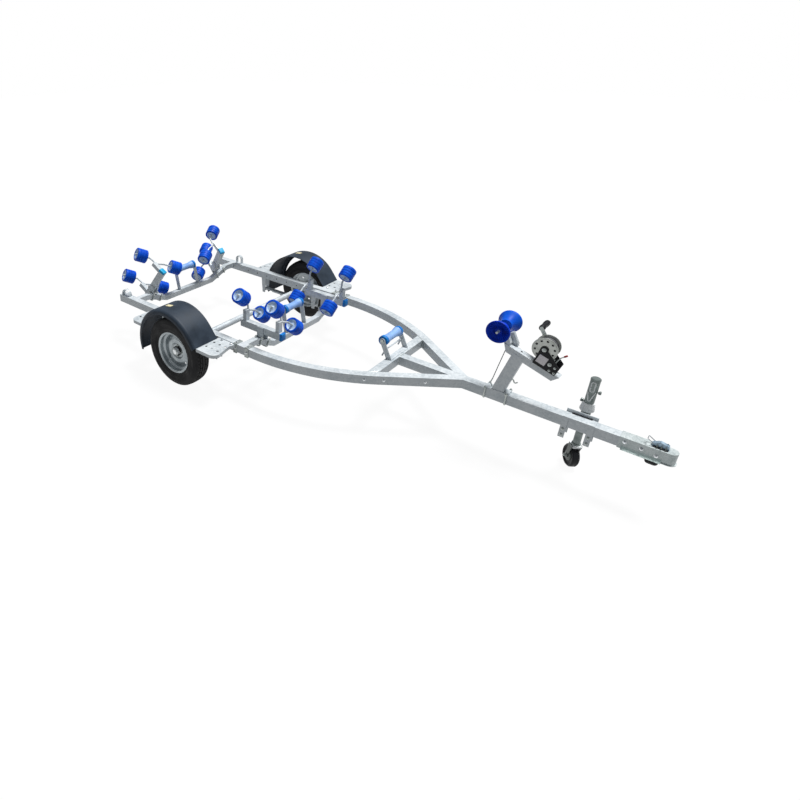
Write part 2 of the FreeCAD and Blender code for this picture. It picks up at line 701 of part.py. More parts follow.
# Mudguards: one section turned about the guard's centre, then run straight down to the front foot.
for side, sign in sides:
    guard = newBody()
    r = guardRadius
    shoulder = guardOut - s.guardRound
    low = r - s.guardRound - s.guardLip
    wall = s.guardWall
    section = [
        (r, s.guardIn), (r, shoulder), arc(sign * s.guardRound), (r - s.guardRound, guardOut),
        (low, guardOut),
        (low, guardOut - wall), (r - s.guardRound, guardOut - wall), arc(-sign * (s.guardRound - wall)),
        (r - wall, shoulder), (r - wall, s.guardIn)]
    section = [item if item[0] == "arc" else (item[0], sign * item[1]) for item in section]
    profile = sketchOn(guard, "XY", 0, [section])
    turn(guard, profile, s.guardSweep, back=True)
    again = sketchOn(guard, "XY", 0, [section])
    pad(guard, again, guardFoot, back=True)
    at(guard, s.axleX + s.guardX, 0, guardZ, Rotation(Vector(0, 1, 0), -float(s.guardStart)))
    keep(guard, "mudguard_" + side)

# Step plates before and behind each mudguard, with a turned-down lip and grip holes.
for side, sign in sides:
    plates = []
    for way, inner, free, drawn in ((1, footX, s.stepFront, s.stepWaist), (-1, tailX, s.tailBack, 0)):
        plate = newBody()
        x0 = s.axleX + inner
        x1 = s.axleX + free
        corner = s.stepCorner
        outer = s.stepOut
        waist = x1 - way * drawn
        foot = x1 - way * drawn / 2
        turnIn = s.railOut + s.waistOut
        outline = [
            (x0, s.railOut), (foot, s.railOut), (waist, turnIn), (x1, outer - corner),
            arc(way * sign * corner), (x1 - way * corner, outer), (x0, outer)]
        outline = [item if item[0] == "arc" else (item[0], sign * item[1]) for item in outline]
        holes = []
        for column in (1, 3, 5):
            for line in (2, 4):
                ahead = x0 + (free - inner) * column / 6.5
                aside = s.railOut + (outer - s.railOut) * line / 6
                holes.append((ahead, sign * aside, s.stepHole))
        pad(plate, sketchOn(plate, "XY", s.stepTop - s.stepThick, [outline], holes), s.stepThick)
        wall = s.stepThick
        lip = [
            (x0, s.railOut), (foot, s.railOut), (waist, turnIn), (x1, outer - corner),
            arc(way * sign * corner), (x1 - way * corner, outer), (x0, outer), (x0, outer - wall),
            (x1 - way * corner, outer - wall), arc(-way * sign * (corner - wall)),
            (x1 - way * wall, outer - corner), (waist - way * wall, turnIn),
            (foot - way * wall, s.railOut + wall), (x0, s.railOut + wall)]
        lip = [item if item[0] == "arc" else (item[0], sign * item[1]) for item in lip]
        pad(plate, sketchOn(plate, "XY", s.stepTop - s.stepThick, [lip]), s.stepLip, back=True)
        plates.append(plate)
    keep(together(plates), "step_plates_" + side)

# Light brackets: an arched strap on each rail near its rear end.
# Side, sign of Y, rear edge from the axle, length, height.
lightBrackets = [("right", -1, -1040, 110, 62), ("left", 1, -815, 74, 88)]
straps = []
for side, sign, rear, long, high in lightBrackets:
    strap = newBody()
    x = s.axleX + rear
    wall = s.strapThick
    inner = long / 2 - wall
    outline = [
        (x, s.railTop), (x + wall, s.railTop), (x + wall, s.railTop + high - long / 2),
        arc(-inner), (x + long - wall, s.railTop + high - long / 2), (x + long - wall, s.railTop),
        (x + long, s.railTop), (x + long, s.railTop + high - long / 2), arc(inner + wall),
        (x, s.railTop + high - long / 2)]
    middle = -sign * (s.railOut - s.railWide / 2)
    pad(strap, sketchOn(strap, "XZ", middle, [outline]), s.strapWide, both=True)
    straps.append(strap)
keep(together(straps), "light_brackets")

# Keel rollers on their brackets: roller ahead of the axle and its height,
# rear edge of the bracket's foot and the height of its seat.
keelBrackets = {
    "front": (s.frontKeelX, s.frontKeelZ, s.frontBeamX + 4, s.railTop),
    "middle": (s.middleKeelX, s.middleKeelZ, s.middleBeamX + 2, middleLow + s.bentHigh),
    "rear": (s.rearKeelX, s.rearKeelZ, s.rearBeamX + 2, rearLow + s.bentHigh),
}
for name, (ahead, high, foot, seat) in keelBrackets.items():
    x = s.axleX + ahead
    seatX = s.axleX + foot
    bracket = newBody()
    wide = s.keelPlateWide
    upright = [
        (seatX, seat), (seatX + wide, seat), (x + wide / 2, high), arc(wide / 2), (x - wide / 2, high)]
    start = s.keelHalf + s.keelGap
    for plane in (-start - s.keelPlate, start):
        pad(bracket, sketchOn(bracket, "XZ", plane, [upright]), s.keelPlate)
    pin = start + s.keelPlate
    pad(bracket, sketchOn(bracket, "XZ", -pin, [], [(x, high, s.keelPin)]), 2 * pin)
    base = [
        (seatX, seat), (seatX + wide, seat), (seatX + wide, seat + s.keelPlate),
        (seatX, seat + s.keelPlate)]
    pad(bracket, sketchOn(bracket, "XZ", -pin, [base]), 2 * pin)
    keep(bracket, "keel_bracket_" + name)
    roller = newBody()
    bore = s.keelPin + s.runFit
    r = s.keelRadius
    half = s.keelHalf
    profile = [
        (bore, -half), (r - 6, -half), (r, 8 - half), (r, 40 - half), (r - 8, 60 - half),
        (r - 8, half - 60),
        (r, half - 40), (r, half - 8), (r - 6, half), (bore, half)]
    turn(roller, sketchOn(roller, "XY", 0, [profile]))
    at(roller, x, 0, high)
    keep(roller, "keel_roller_" + name)

# Roller carriages. A bracket on a bent crossmember carries a tipping arm across whose top sit two rockers;
# each rocker's bent rod has a hull roller on either end.
# name, pivot ahead of the axle, from the middle, height, tip and toe-in in degrees, roll of the rockers,
# front rocker, rear rocker, front end, rear end along the arm, crossmember's rear face and dip,
# rear edge of the bracket's base from the crossmember's rear face
carriages = [
    ("middle", 525, 448, 502, 0, 0, 0, 171, -180, 215, -222, s.middleBeamX, s.middleDrop, -12),
    ("rear", -897, 439, 481, 55, 16.5, 8.5, 212, -80, 232, -104, s.rearBeamX, s.rearDrop, 4),
]
for (name, ahead, aside, high, tip, toe, roll, rockerFront, rockerRear, armFront, armRear,
        beamX, drop, baseRear) in carriages:
    brackets = []
    for side, sign in sides:
        hinge = Vector(float(s.axleX) + ahead, sign * aside, high)
        toeTurn = Rotation(Vector(0, 0, 1), -sign * toe)
        armTurn = toeTurn * Rotation(Vector(0, 1, 0), -tip)
        halfArm = s.armWide / 2
        bolt = halfArm + s.pivotGap + s.pivotPlate

        # Bracket: a base plate that follows the crossmember's slope and two plates up to the pivot.
        base = newBody()
        inner = asSize(aside) - s.clampWide / 2
        outer = asSize(aside) + s.clampWide / 2
        strip = [
            (inner, bentTop(drop, inner)), (outer, bentTop(drop, outer)),
            (outer, bentTop(drop, outer) + s.clampThick), (inner, bentTop(drop, inner) + s.clampThick)]
        strip = [(sign * item[0], item[1]) for item in strip]
        pad(base, sketchOn(base, "YZ", s.axleX + beamX + baseRear, [strip]), s.bentDeep + 12 - baseRear)
        plates = []
        wide = s.pivotWide.number
        for start in (-bolt, bolt - s.pivotPlate):
            outside = aside + sign * start + s.pivotPlate
            foot = bentTop(drop, outside) + 2
            plate = box(wide, s.pivotPlate, high + s.pivotTop - foot)
            lift = Vector(-wide / 2, float(start), foot.number - high)
            plate.Placement = Placement(hinge + toeTurn.multVec(lift), toeTurn)
            plates.append(plate)
        pin = rod(s.pivotRadius, 2 * bolt)
        pin.Placement = Placement(hinge + toeTurn.multVec(Vector(0, -bolt.number, 0)), toeTurn * along)
        brackets.append(fuse([base] + plates + [pin]))

        # Arm: a square tube with a bore for the pivot, and a rocker bracket near each end.
        arm = newBody()
        section = []
        for inset in (0, s.tubeWall):
            section.append([
                (inset - halfArm, inset - s.armHigh / 2), (halfArm - inset, inset - s.armHigh / 2),
                (halfArm - inset, s.armHigh / 2 - inset), (inset - halfArm, s.armHigh / 2 - inset)])
        pad(arm, sketchOn(arm, "YZ", armRear, section), armFront - armRear)
        sleeve = [(0, 0, s.pivotRadius + 6)]
        pad(arm, sketchOn(arm, "XZ", 0, [], sleeve), s.armWide, both=True)
        pinHole = (0, 0, s.pivotRadius + s.runFit)
        pocket(arm, sketchOn(arm, "XZ", 0, [], [pinHole]), 2 * s.armWide, both=True)
        arm.Placement = Placement(hinge, armTurn)
        pieces = [arm]
        tilt = math.radians(float(s.rollerTilt))
        spin = Rotation(Vector(1, 0, 0), sign * roll)
        rollers = []
        for end, rocker in (("front", rockerFront), ("rear", rockerRear)):
            local = Vector(rocker, 0, 0)

            def onRocker(aside, up):
                return local + spin.multVec(Vector(0, sign * aside, up))

            post = box(s.rockerWide, s.armWide - 8, float(s.rockerUp) + 14 - float(s.armHigh) / 2)
            corner = Vector(rocker - float(s.rockerWide) / 2, 4 - halfArm.number, float(s.armHigh) / 2 - 1)
            post.Placement = Placement(hinge + armTurn.multVec(spin.multVec(corner)), armTurn * spin)
            pieces.append(post)
            lean = Vector(0, math.cos(tilt), math.sin(tilt))
            reach = float(s.hullHalf) + float(s.rodProud)
            upper = (float(s.outerSide), float(s.outerUp))
            lower = (float(s.innerSide), float(s.innerUp))
            span = float(s.rodSpan)
            route = [
                onRocker(upper[0] + lean.y * reach, upper[1] + lean.z * reach),
                onRocker(upper[0] - lean.y * span * 0.78, upper[1] - lean.z * span * 0.78),
                onRocker(float(s.rockerSide), float(s.rockerUp)),
                onRocker(lower[0] + lean.y * span, lower[1] + lean.z * span),
                onRocker(lower[0] - lean.y * reach, lower[1] - lean.z * reach)]
            bent = doc.addObject("Part::Feature", nextName("BentRod"))
            bent.Shape = bentRod(route, float(s.rodRadius), float(s.rodBend))
            bent.Placement = Placement(hinge, armTurn)
            pieces.append(bent)
            for place, (across, up) in (("upper", upper), ("lower", lower)):
                centre = hinge + armTurn.multVec(onRocker(across, up))
                outward = Rotation(Vector(0, 1, 0), Vector(0, sign * lean.y, lean.z))
                rollers.append((place + "_" + end, centre, armTurn * spin * outward))
        keep(fuse(pieces), "carriage_%s_%s" % (name, side))

        for place, centre, facing in rollers:
            roller = newBody()
            bore = s.rodRadius + s.runFit
            r = s.hullRadius
            half = s.hullHalf
            dish = half - s.hullDish
            profile = [
                (bore, -dish), (r - 18, -dish), (r - 14, -half), (r - 5, -half), (r, 7 - half)]
            for groove in (-0.5, 0, 0.5):
                middle = half * groove
                profile += [
                    (r, middle - 3), (r - s.hullGroove, middle - 1.5), (r - s.hullGroove, middle + 1.5),
                    (r, middle + 3)]
            profile += [(r, half - 7), (r - 5, half), (r - 14, half), (r - 18, dish), (bore, dish)]
            turn(roller, sketchOn(roller, "XY", 0, [profile]))
            roller.Placement = Placement(centre, facing)
            keep(roller, "roller_%s_%s_%s" % (name, side, place))
    keep(together(brackets), "carriage_brackets_" + name)

# Winch post: base plate, leaning post, sloping head beam and the bow roller's stem with its pin.
slope = s.headSlope
downX = cosine(slope)
downZ = -sine(slope)


# A point along the head beam's top edge from its rear end, and square to it.
def onHead(distance, above):
    x = s.axleX + s.headBack + distance * downX + above * sine(slope)
    z = s.headTop + distance * downZ + above * cosine(slope)
    return (x, z)


post = newBody()
base = [
    (s.axleX + s.baseBack, s.railTop), (s.axleX + s.baseFront, s.railTop),
    (s.axleX + s.baseFront, s.railTop + s.baseThick), (s.axleX + s.baseBack, s.railTop + s.baseThick)]
pad(post, sketchOn(post, "XZ", 0, [base]), s.drawbarWide, both=True)
postLow = s.railTop + s.baseThick
lean = tangent(s.postLean)
foot = s.axleX + s.postBack
toe = s.axleX + s.postFront
# Where the post's edges meet the middle of the head beam.
slant = tangent(slope)


def meetHead(edge):
    middle = onHead(0, -s.headDeep / 2)
    rise = (middle[1] - postLow - (edge - middle[0]) * slant) / (1 + lean * slant)
    return (edge + rise * lean, postLow + rise)


column = [(foot, postLow), (toe, postLow), meetHead(toe), meetHead(foot)]
pad(post, sketchOn(post, "XZ", 0, [column]), s.postWide, both=True)
head = [
    onHead(s.headCut, -s.headDeep), onHead(s.headLong - s.headSlant, -s.headDeep),
    onHead(s.headLong, 0), onHead(0, 0)]
pad(post, sketchOn(post, "XZ", 0, [head]), s.headWide, both=True)
bowX = s.axleX + s.bowX
stem = [
    onHead(6, -10), onHead(40, -10), onHead(34, 20), (bowX + s.stemThick, s.bowZ), arc(s.stemThick),
    (bowX - s.stemThick, s.bowZ)]
pad(post, sketchOn(post, "XZ", 0, [stem]), 2 * s.bowIn - 4, both=True)
bowPin = (bowX, s.bowZ, s.rodRadius)
pad(post, sketchOn(post, "XZ", 0, [], [bowPin]), 2 * (s.bowOut + s.rodProud), both=True)
keep(post, "winch_post")

bow = []
for side, sign in sides:
    roller = newBody()
    bore = s.rodRadius + s.runFit
    profile = [
        (bore, s.bowIn), (s.bowNeck, s.bowIn), (s.bowNeck + 3, s.bowIn + 16),
        (s.bowRadius - 4, s.bowOut - 20), (s.bowRadius, s.bowOut - 10), (s.bowRadius - 3, s.bowOut),
        (s.bowRadius - 12, s.bowOut), (24, s.bowOut - 12), (bore, s.bowOut - 12)]
    turn(roller, sketchOn(roller, "XY", 0, [profile]))
    at(roller, bowX, 0, s.bowZ, Rotation() if sign > 0 else faceRight)
    bow.append(roller)
keep(together(bow), "bow_roller")

# Winch: a black frame on the head beam, the drum with its gear, and the crank on its pinion.
drumX, drumZ = onHead(s.winchAlong, s.winchUp)
centres = s.gearRadius + s.pinionRadius + 0.6
pinionUp = s.winchUp - root(centres * centres - s.pinionAlong * s.pinionAlong)
pinionX, pinionZ = onHead(s.winchAlong + s.pinionAlong, pinionUp)
winchRear = s.winchAlong - s.winchRear
winchFront = s.winchAlong + s.winchFront
frame = newBody()
floor = [
    onHead(winchRear, 0), onHead(winchFront, 0),
    onHead(winchFront, s.winchWall), onHead(winchRear, s.winchWall)]
pad(frame, sketchOn(frame, "XZ", 0, [floor]), 2 * s.winchHalf, both=True)
cheek = [
    onHead(winchRear, 0), onHead(winchFront, 0), onHead(winchFront, 60),
    onHead(winchFront - 30, 76), onHead(s.winchAlong + 24, s.winchUp), arc(24),
    onHead(s.winchAlong - 24, s.winchUp),
    onHead(winchRear - 4, 60)]
for plane in (-s.winchHalf, s.winchHalf - s.winchWall):
    holes = [(drumX, drumZ, s.shaftRadius + s.runFit), (pinionX, pinionZ, s.shaftRadius + s.runFit)]
    pad(frame, sketchOn(frame, "XZ", plane, [cheek], holes), s.winchWall)
keep(frame, "winch_frame")

drum = newBody()
inside = s.winchHalf - s.winchWall - 1
flange = 5
profile = [
    (0, -s.winchHalf - 3), (s.shaftRadius, -s.winchHalf - 3), (s.shaftRadius, -inside),
    (s.gearRadius, -inside),
    (s.gearRadius, flange - inside), (s.drumRadius, flange - inside), (s.drumRadius, inside - flange),
    (s.gearRadius - 3, inside - flange), (s.gearRadius - 3, inside), (s.shaftRadius, inside),
    (s.shaftRadius, s.winchHalf + 3), (0, s.winchHalf + 3)]
turn(drum, sketchOn(drum, "XY", 0, [profile]))
at(drum, drumX, 0, drumZ)
keep(drum, "winch_drum")

crank = newBody()
profile = [
    (0, -s.winchHalf - 3), (s.shaftRadius, -s.winchHalf - 3), (s.shaftRadius, -inside),
    (s.pinionRadius, -inside), (s.pinionRadius, flange + 3 - inside),
    (s.shaftRadius, flange + 3 - inside), (s.shaftRadius, s.winchHalf + 24),
    (0, s.winchHalf + 24)]
turn(crank, sketchOn(crank, "XY", 0, [profile]))
at(crank, pinionX, 0, pinionZ)
arm = newBody()
flat = [(-14, -12), (s.crankLong, -12), arc(12), (s.crankLong, 12), (-14, 12)]
pad(arm, sketchOn(arm, "XZ", 0, [flat]), 7, back=True)
at(arm, pinionX, s.winchHalf + 16, pinionZ, Rotation(Vector(0, 1, 0), -float(s.crankAngle)))
tipX = pinionX + s.crankLong * cosine(s.crankAngle)
tipZ = pinionZ + s.crankLong * sine(s.crankAngle)
grip = at(rod(s.gripRadius, s.gripLong), tipX, s.winchHalf + 20, tipZ, along)
keep(fuse([crank, arm, grip]), "winch_crank")

# Jack: a bracket bolted to the drawbar, the tube that swings on it, the sliding leg and the jockey wheel.
jackX = s.axleX + s.jackX
bracket = newBody()
plateLong = 182
back = jackX - 90
strap = 35
wallStart = drawbarSide
face = [
    (back, 302), (back + strap, 302), (back + strap, 372), (back + plateLong - strap, 372),
    (back + plateLong - strap, 302), (back + plateLong, 302), (back + plateLong, 480), (back, 480)]
pad(bracket, sketchOn(bracket, "XZ", -wallStart, [face]), 6, back=True)
top = [
    (back, s.railTop), (back + plateLong, s.railTop), (back + plateLong, s.railTop + 6),
    (back, s.railTop + 6)]
pad(bracket, sketchOn(bracket, "XZ", -wallStart - 6, [top]), 2 * drawbarSide + 12)
for start in (back, back + plateLong - strap):
    near = [(start, 302), (start + strap, 302), (start + strap, s.railTop + 6), (start, s.railTop + 6)]
    pad(bracket, sketchOn(bracket, "XZ", wallStart, [near]), 6)
pad(bracket, sketchOn(bracket, "XZ", -wallStart - 6, [], [(jackX, s.jackPivotZ, 14)]), 24, back=True)
keep(bracket, "jack_bracket")

tube = newBody()
r = s.jackRadius
bore = s.legRadius + s.easeFit
profile = [
    (bore, s.jackLow), (r, s.jackLow), (r, s.jackTop - 12), (r + 1, s.jackTop - 12), (r + 1, s.jackTop - 4),
    (r - 3, s.jackTop), (0, s.jackTop), (0, s.jackTop - 14), (bore, s.jackTop - 14)]
turn(tube, sketchOn(tube, "XZ", 0, [profile]))
at(tube, jackX, s.jackY, 0)
hubStart = wallStart + 6 + 2
swivel = cut(
    at(rod(s.swivelRadius, s.jackY - r + 8 - hubStart), jackX, hubStart, s.jackPivotZ, along),
    at(rod(14 + s.runFit, 24), jackX, hubStart - 1, s.jackPivotZ, along))
coreHalf = 2 * s.swivelRadius
core = at(rod(r - 2, 2 * coreHalf), jackX, s.jackY, s.jackPivotZ - coreHalf)
plug = cut(swivel, core)
keep(fuse([tube, plug]), "jack_tube")

leg = newBody()
collar = s.legRadius + 5
socket = s.kingRadius + s.runFit
plugTop = s.legLow + s.kingLong + 2
profile = [
    (socket, s.legLow), (collar, s.legLow), (collar, s.legLow + 14), (s.legRadius, s.legLow + 14),
    (s.legRadius, s.legTop), (s.legRadius - 3, s.legTop), (s.legRadius - 3, plugTop), (socket, plugTop)]
turn(leg, sketchOn(leg, "XZ", 0, [profile]))
at(leg, jackX, s.jackY, 0)
keep(leg, "jack_leg")

# The fork's own frame: Y along the wheel's axle, X ahead of the swivel.
wheelZ = s.jockeyRadius
forkTurn = Rotation(Vector(0, 0, 1), float(s.jockeyTurn) - 90)
fork = newBody()
crownTop = s.legLow - s.easeFit
crownLow = crownTop - 8
inside = s.jockeyHalf + 3
pad(fork, sketchOn(fork, "XY", crownLow, [[
    (-26, -inside - s.forkWall), (26, -inside - s.forkWall), (26, inside + s.forkWall),
    (-26, inside + s.forkWall)]]), 8)
blade = [
    (-26, crownTop), (-s.jockeyTrail - 13, wheelZ), arc(13), (13 - s.jockeyTrail, wheelZ), (26, crownTop)]
for plane in (-inside - s.forkWall, inside):
    pad(fork, sketchOn(fork, "XZ", plane, [blade]), s.forkWall)
pad(fork, sketchOn(fork, "XY", crownTop, [], [(0, 0, s.kingRadius)]), s.kingLong)
half = inside + s.forkWall + 6
pad(fork, sketchOn(fork, "XZ", 0, [], [(-s.jockeyTrail, wheelZ, s.jockeyPin)]), 2 * half, both=True)
fork.Placement = Placement(Vector(float(jackX), float(s.jackY), 0), forkTurn)
keep(fork, "jack_fork")

wheel = newBody()
r = s.jockeyRadius
half = s.jockeyHalf
bore = s.jockeyPin + s.runFit
profile = [
    (bore, -half), (24, -half), (28, 6 - half), (r - 22, 6 - half), (r - 16, -half), (r - 8, -half),
    (r, 9 - half), (r, half - 9), (r - 8, half), (r - 16, half), (r - 22, half - 6), (28, half - 6),
    (24, half), (bore, half)]
turn(wheel, sketchOn(wheel, "XY", 0, [profile]))
centre = forkTurn.multVec(Vector(-float(s.jockeyTrail), 0, 0))
spot = Vector(float(jackX) + centre.x, float(s.jackY) + centre.y, float(wheelZ))
wheel.Placement = Placement(spot, forkTurn)
keep(wheel, "jack_wheel")

# Coupling: a pressed shell over the drawbar's end that narrows to a round head with the ball socket.
shell = newBody()
nose = s.axleX + s.couplerNose
rear = s.axleX + s.couplerBack
half = drawbarSide + s.couplerWall
headX = nose - s.noseRadius
taper = headX - 90
outline = [
    (rear, -half), (taper, -half), (headX, -s.noseRadius), arc(s.noseRadius), (headX, s.noseRadius),
    (taper, half), (rear, half)]
pad(shell, sketchOn(shell, "XY", s.couplerLow, [outline]), s.railTop + s.couplerWall - s.couplerLow)
lip = s.couplerFlange
flange = [
    (rear + 20, -half - lip), (taper, -half - lip), (headX, -s.noseRadius - lip), arc(s.noseRadius + lip),
    (headX, s.noseRadius + lip), (taper, half + lip), (rear + 20, half + lip)]
pad(shell, sketchOn(shell, "XY", s.couplerLow, [flange]), s.couplerWall)
end = s.axleX + s.drawbarFront
channel = [(rear, -drawbarSide), (end, -drawbarSide), (end, drawbarSide), (rear, drawbarSide)]
pocket(shell, sketchOn(shell, "XY", s.couplerLow, [channel]), s.railTop - s.couplerLow)
pocket(shell, sketchOn(shell, "XY", s.couplerLow, [], [(headX, 0, s.ballRadius)]), 46)
keep(shell, "coupler")
latch = newBody()
lever = [
    (headX - 96, s.railTop + 6), (headX - 70, s.railTop + s.couplerWall),
    (headX - 10, s.railTop + s.couplerWall),
    (headX - 16, s.railTop + 30), (headX - 60, s.railTop + 40), (headX - 100, s.railTop + 20)]
pad(latch, sketchOn(latch, "XZ", 0, [lever]), 26, both=True)
keep(latch, "coupler_latch")

doc.recompute()
for item in doc.Objects:
    if "Invalid" in item.State or "Error" in item.State:
        raise RuntimeError("%s (%s) did not build: %s" % (item.Name, item.Label, item.State))
os.makedirs("parts", exist_ok=True)
for item in parts:
    if item.Shape.isNull() or not item.Shape.isValid():
        raise RuntimeError(item.Label + " has no valid shape")
    item.Shape.exportStep("parts/%s.step" % item.Label)
print(len(parts), "nodes written")
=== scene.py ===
import json
import math
import bpy
from mathutils import Matrix, Vector


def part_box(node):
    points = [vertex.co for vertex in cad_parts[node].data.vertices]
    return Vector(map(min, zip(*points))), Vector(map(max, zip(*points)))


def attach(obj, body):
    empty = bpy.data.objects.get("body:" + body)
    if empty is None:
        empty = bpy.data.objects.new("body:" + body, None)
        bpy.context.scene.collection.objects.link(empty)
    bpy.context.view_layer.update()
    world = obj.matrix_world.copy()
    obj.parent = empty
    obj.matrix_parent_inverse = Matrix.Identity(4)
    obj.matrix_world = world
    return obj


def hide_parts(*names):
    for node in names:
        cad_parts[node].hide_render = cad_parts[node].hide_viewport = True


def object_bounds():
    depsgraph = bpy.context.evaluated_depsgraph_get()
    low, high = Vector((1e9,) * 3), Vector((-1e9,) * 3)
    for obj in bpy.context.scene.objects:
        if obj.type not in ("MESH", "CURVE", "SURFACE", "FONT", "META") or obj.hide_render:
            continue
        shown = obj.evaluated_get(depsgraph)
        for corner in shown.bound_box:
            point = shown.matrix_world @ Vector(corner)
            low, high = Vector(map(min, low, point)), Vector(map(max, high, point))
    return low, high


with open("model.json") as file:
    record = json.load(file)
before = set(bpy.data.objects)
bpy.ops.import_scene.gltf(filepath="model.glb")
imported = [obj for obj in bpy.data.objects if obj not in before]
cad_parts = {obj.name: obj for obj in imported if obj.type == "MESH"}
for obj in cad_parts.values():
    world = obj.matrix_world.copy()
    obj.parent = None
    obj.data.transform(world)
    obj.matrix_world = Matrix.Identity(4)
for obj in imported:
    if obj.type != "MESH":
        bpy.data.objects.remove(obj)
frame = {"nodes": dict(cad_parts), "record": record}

cadLow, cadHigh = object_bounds()
record = frame["record"]
print("trailer: frame loaded")

# ---- camera: out to the right beside the coupling, 2.6 m up, looking back over the trailer
cameraSet = {
    "place": (2.2421, -3.7166, 2.6399), "yaw": 134.45, "pitch": -26.62, "roll": -1.12,
    "lens": 26.06, "shiftX": 0.2196, "shiftY": -0.0874}


def addCamera(values):
    yaw, pitch, roll = (math.radians(values[key]) for key in ("yaw", "pitch", "roll"))
    ahead = Vector((math.cos(yaw) * math.cos(pitch), math.sin(yaw) * math.cos(pitch), math.sin(pitch)))
    right = Vector((math.sin(yaw), -math.cos(yaw), 0))
    up = right.cross(ahead)
    tiltRight = math.cos(roll) * right + math.sin(roll) * up
    tiltUp = -math.sin(roll) * right + math.cos(roll) * up
    bpy.ops.object.camera_add(location=values["place"])
    camera = bpy.context.object
    camera.rotation_euler = Matrix((tiltRight, tiltUp, -ahead)).transposed().to_euler()
    camera.data.lens = values["lens"]
    camera.data.shift_x = values["shiftX"]
    camera.data.shift_y = values["shiftY"]
    bpy.context.scene.camera = camera


addCamera(cameraSet)
print("trailer: camera set")

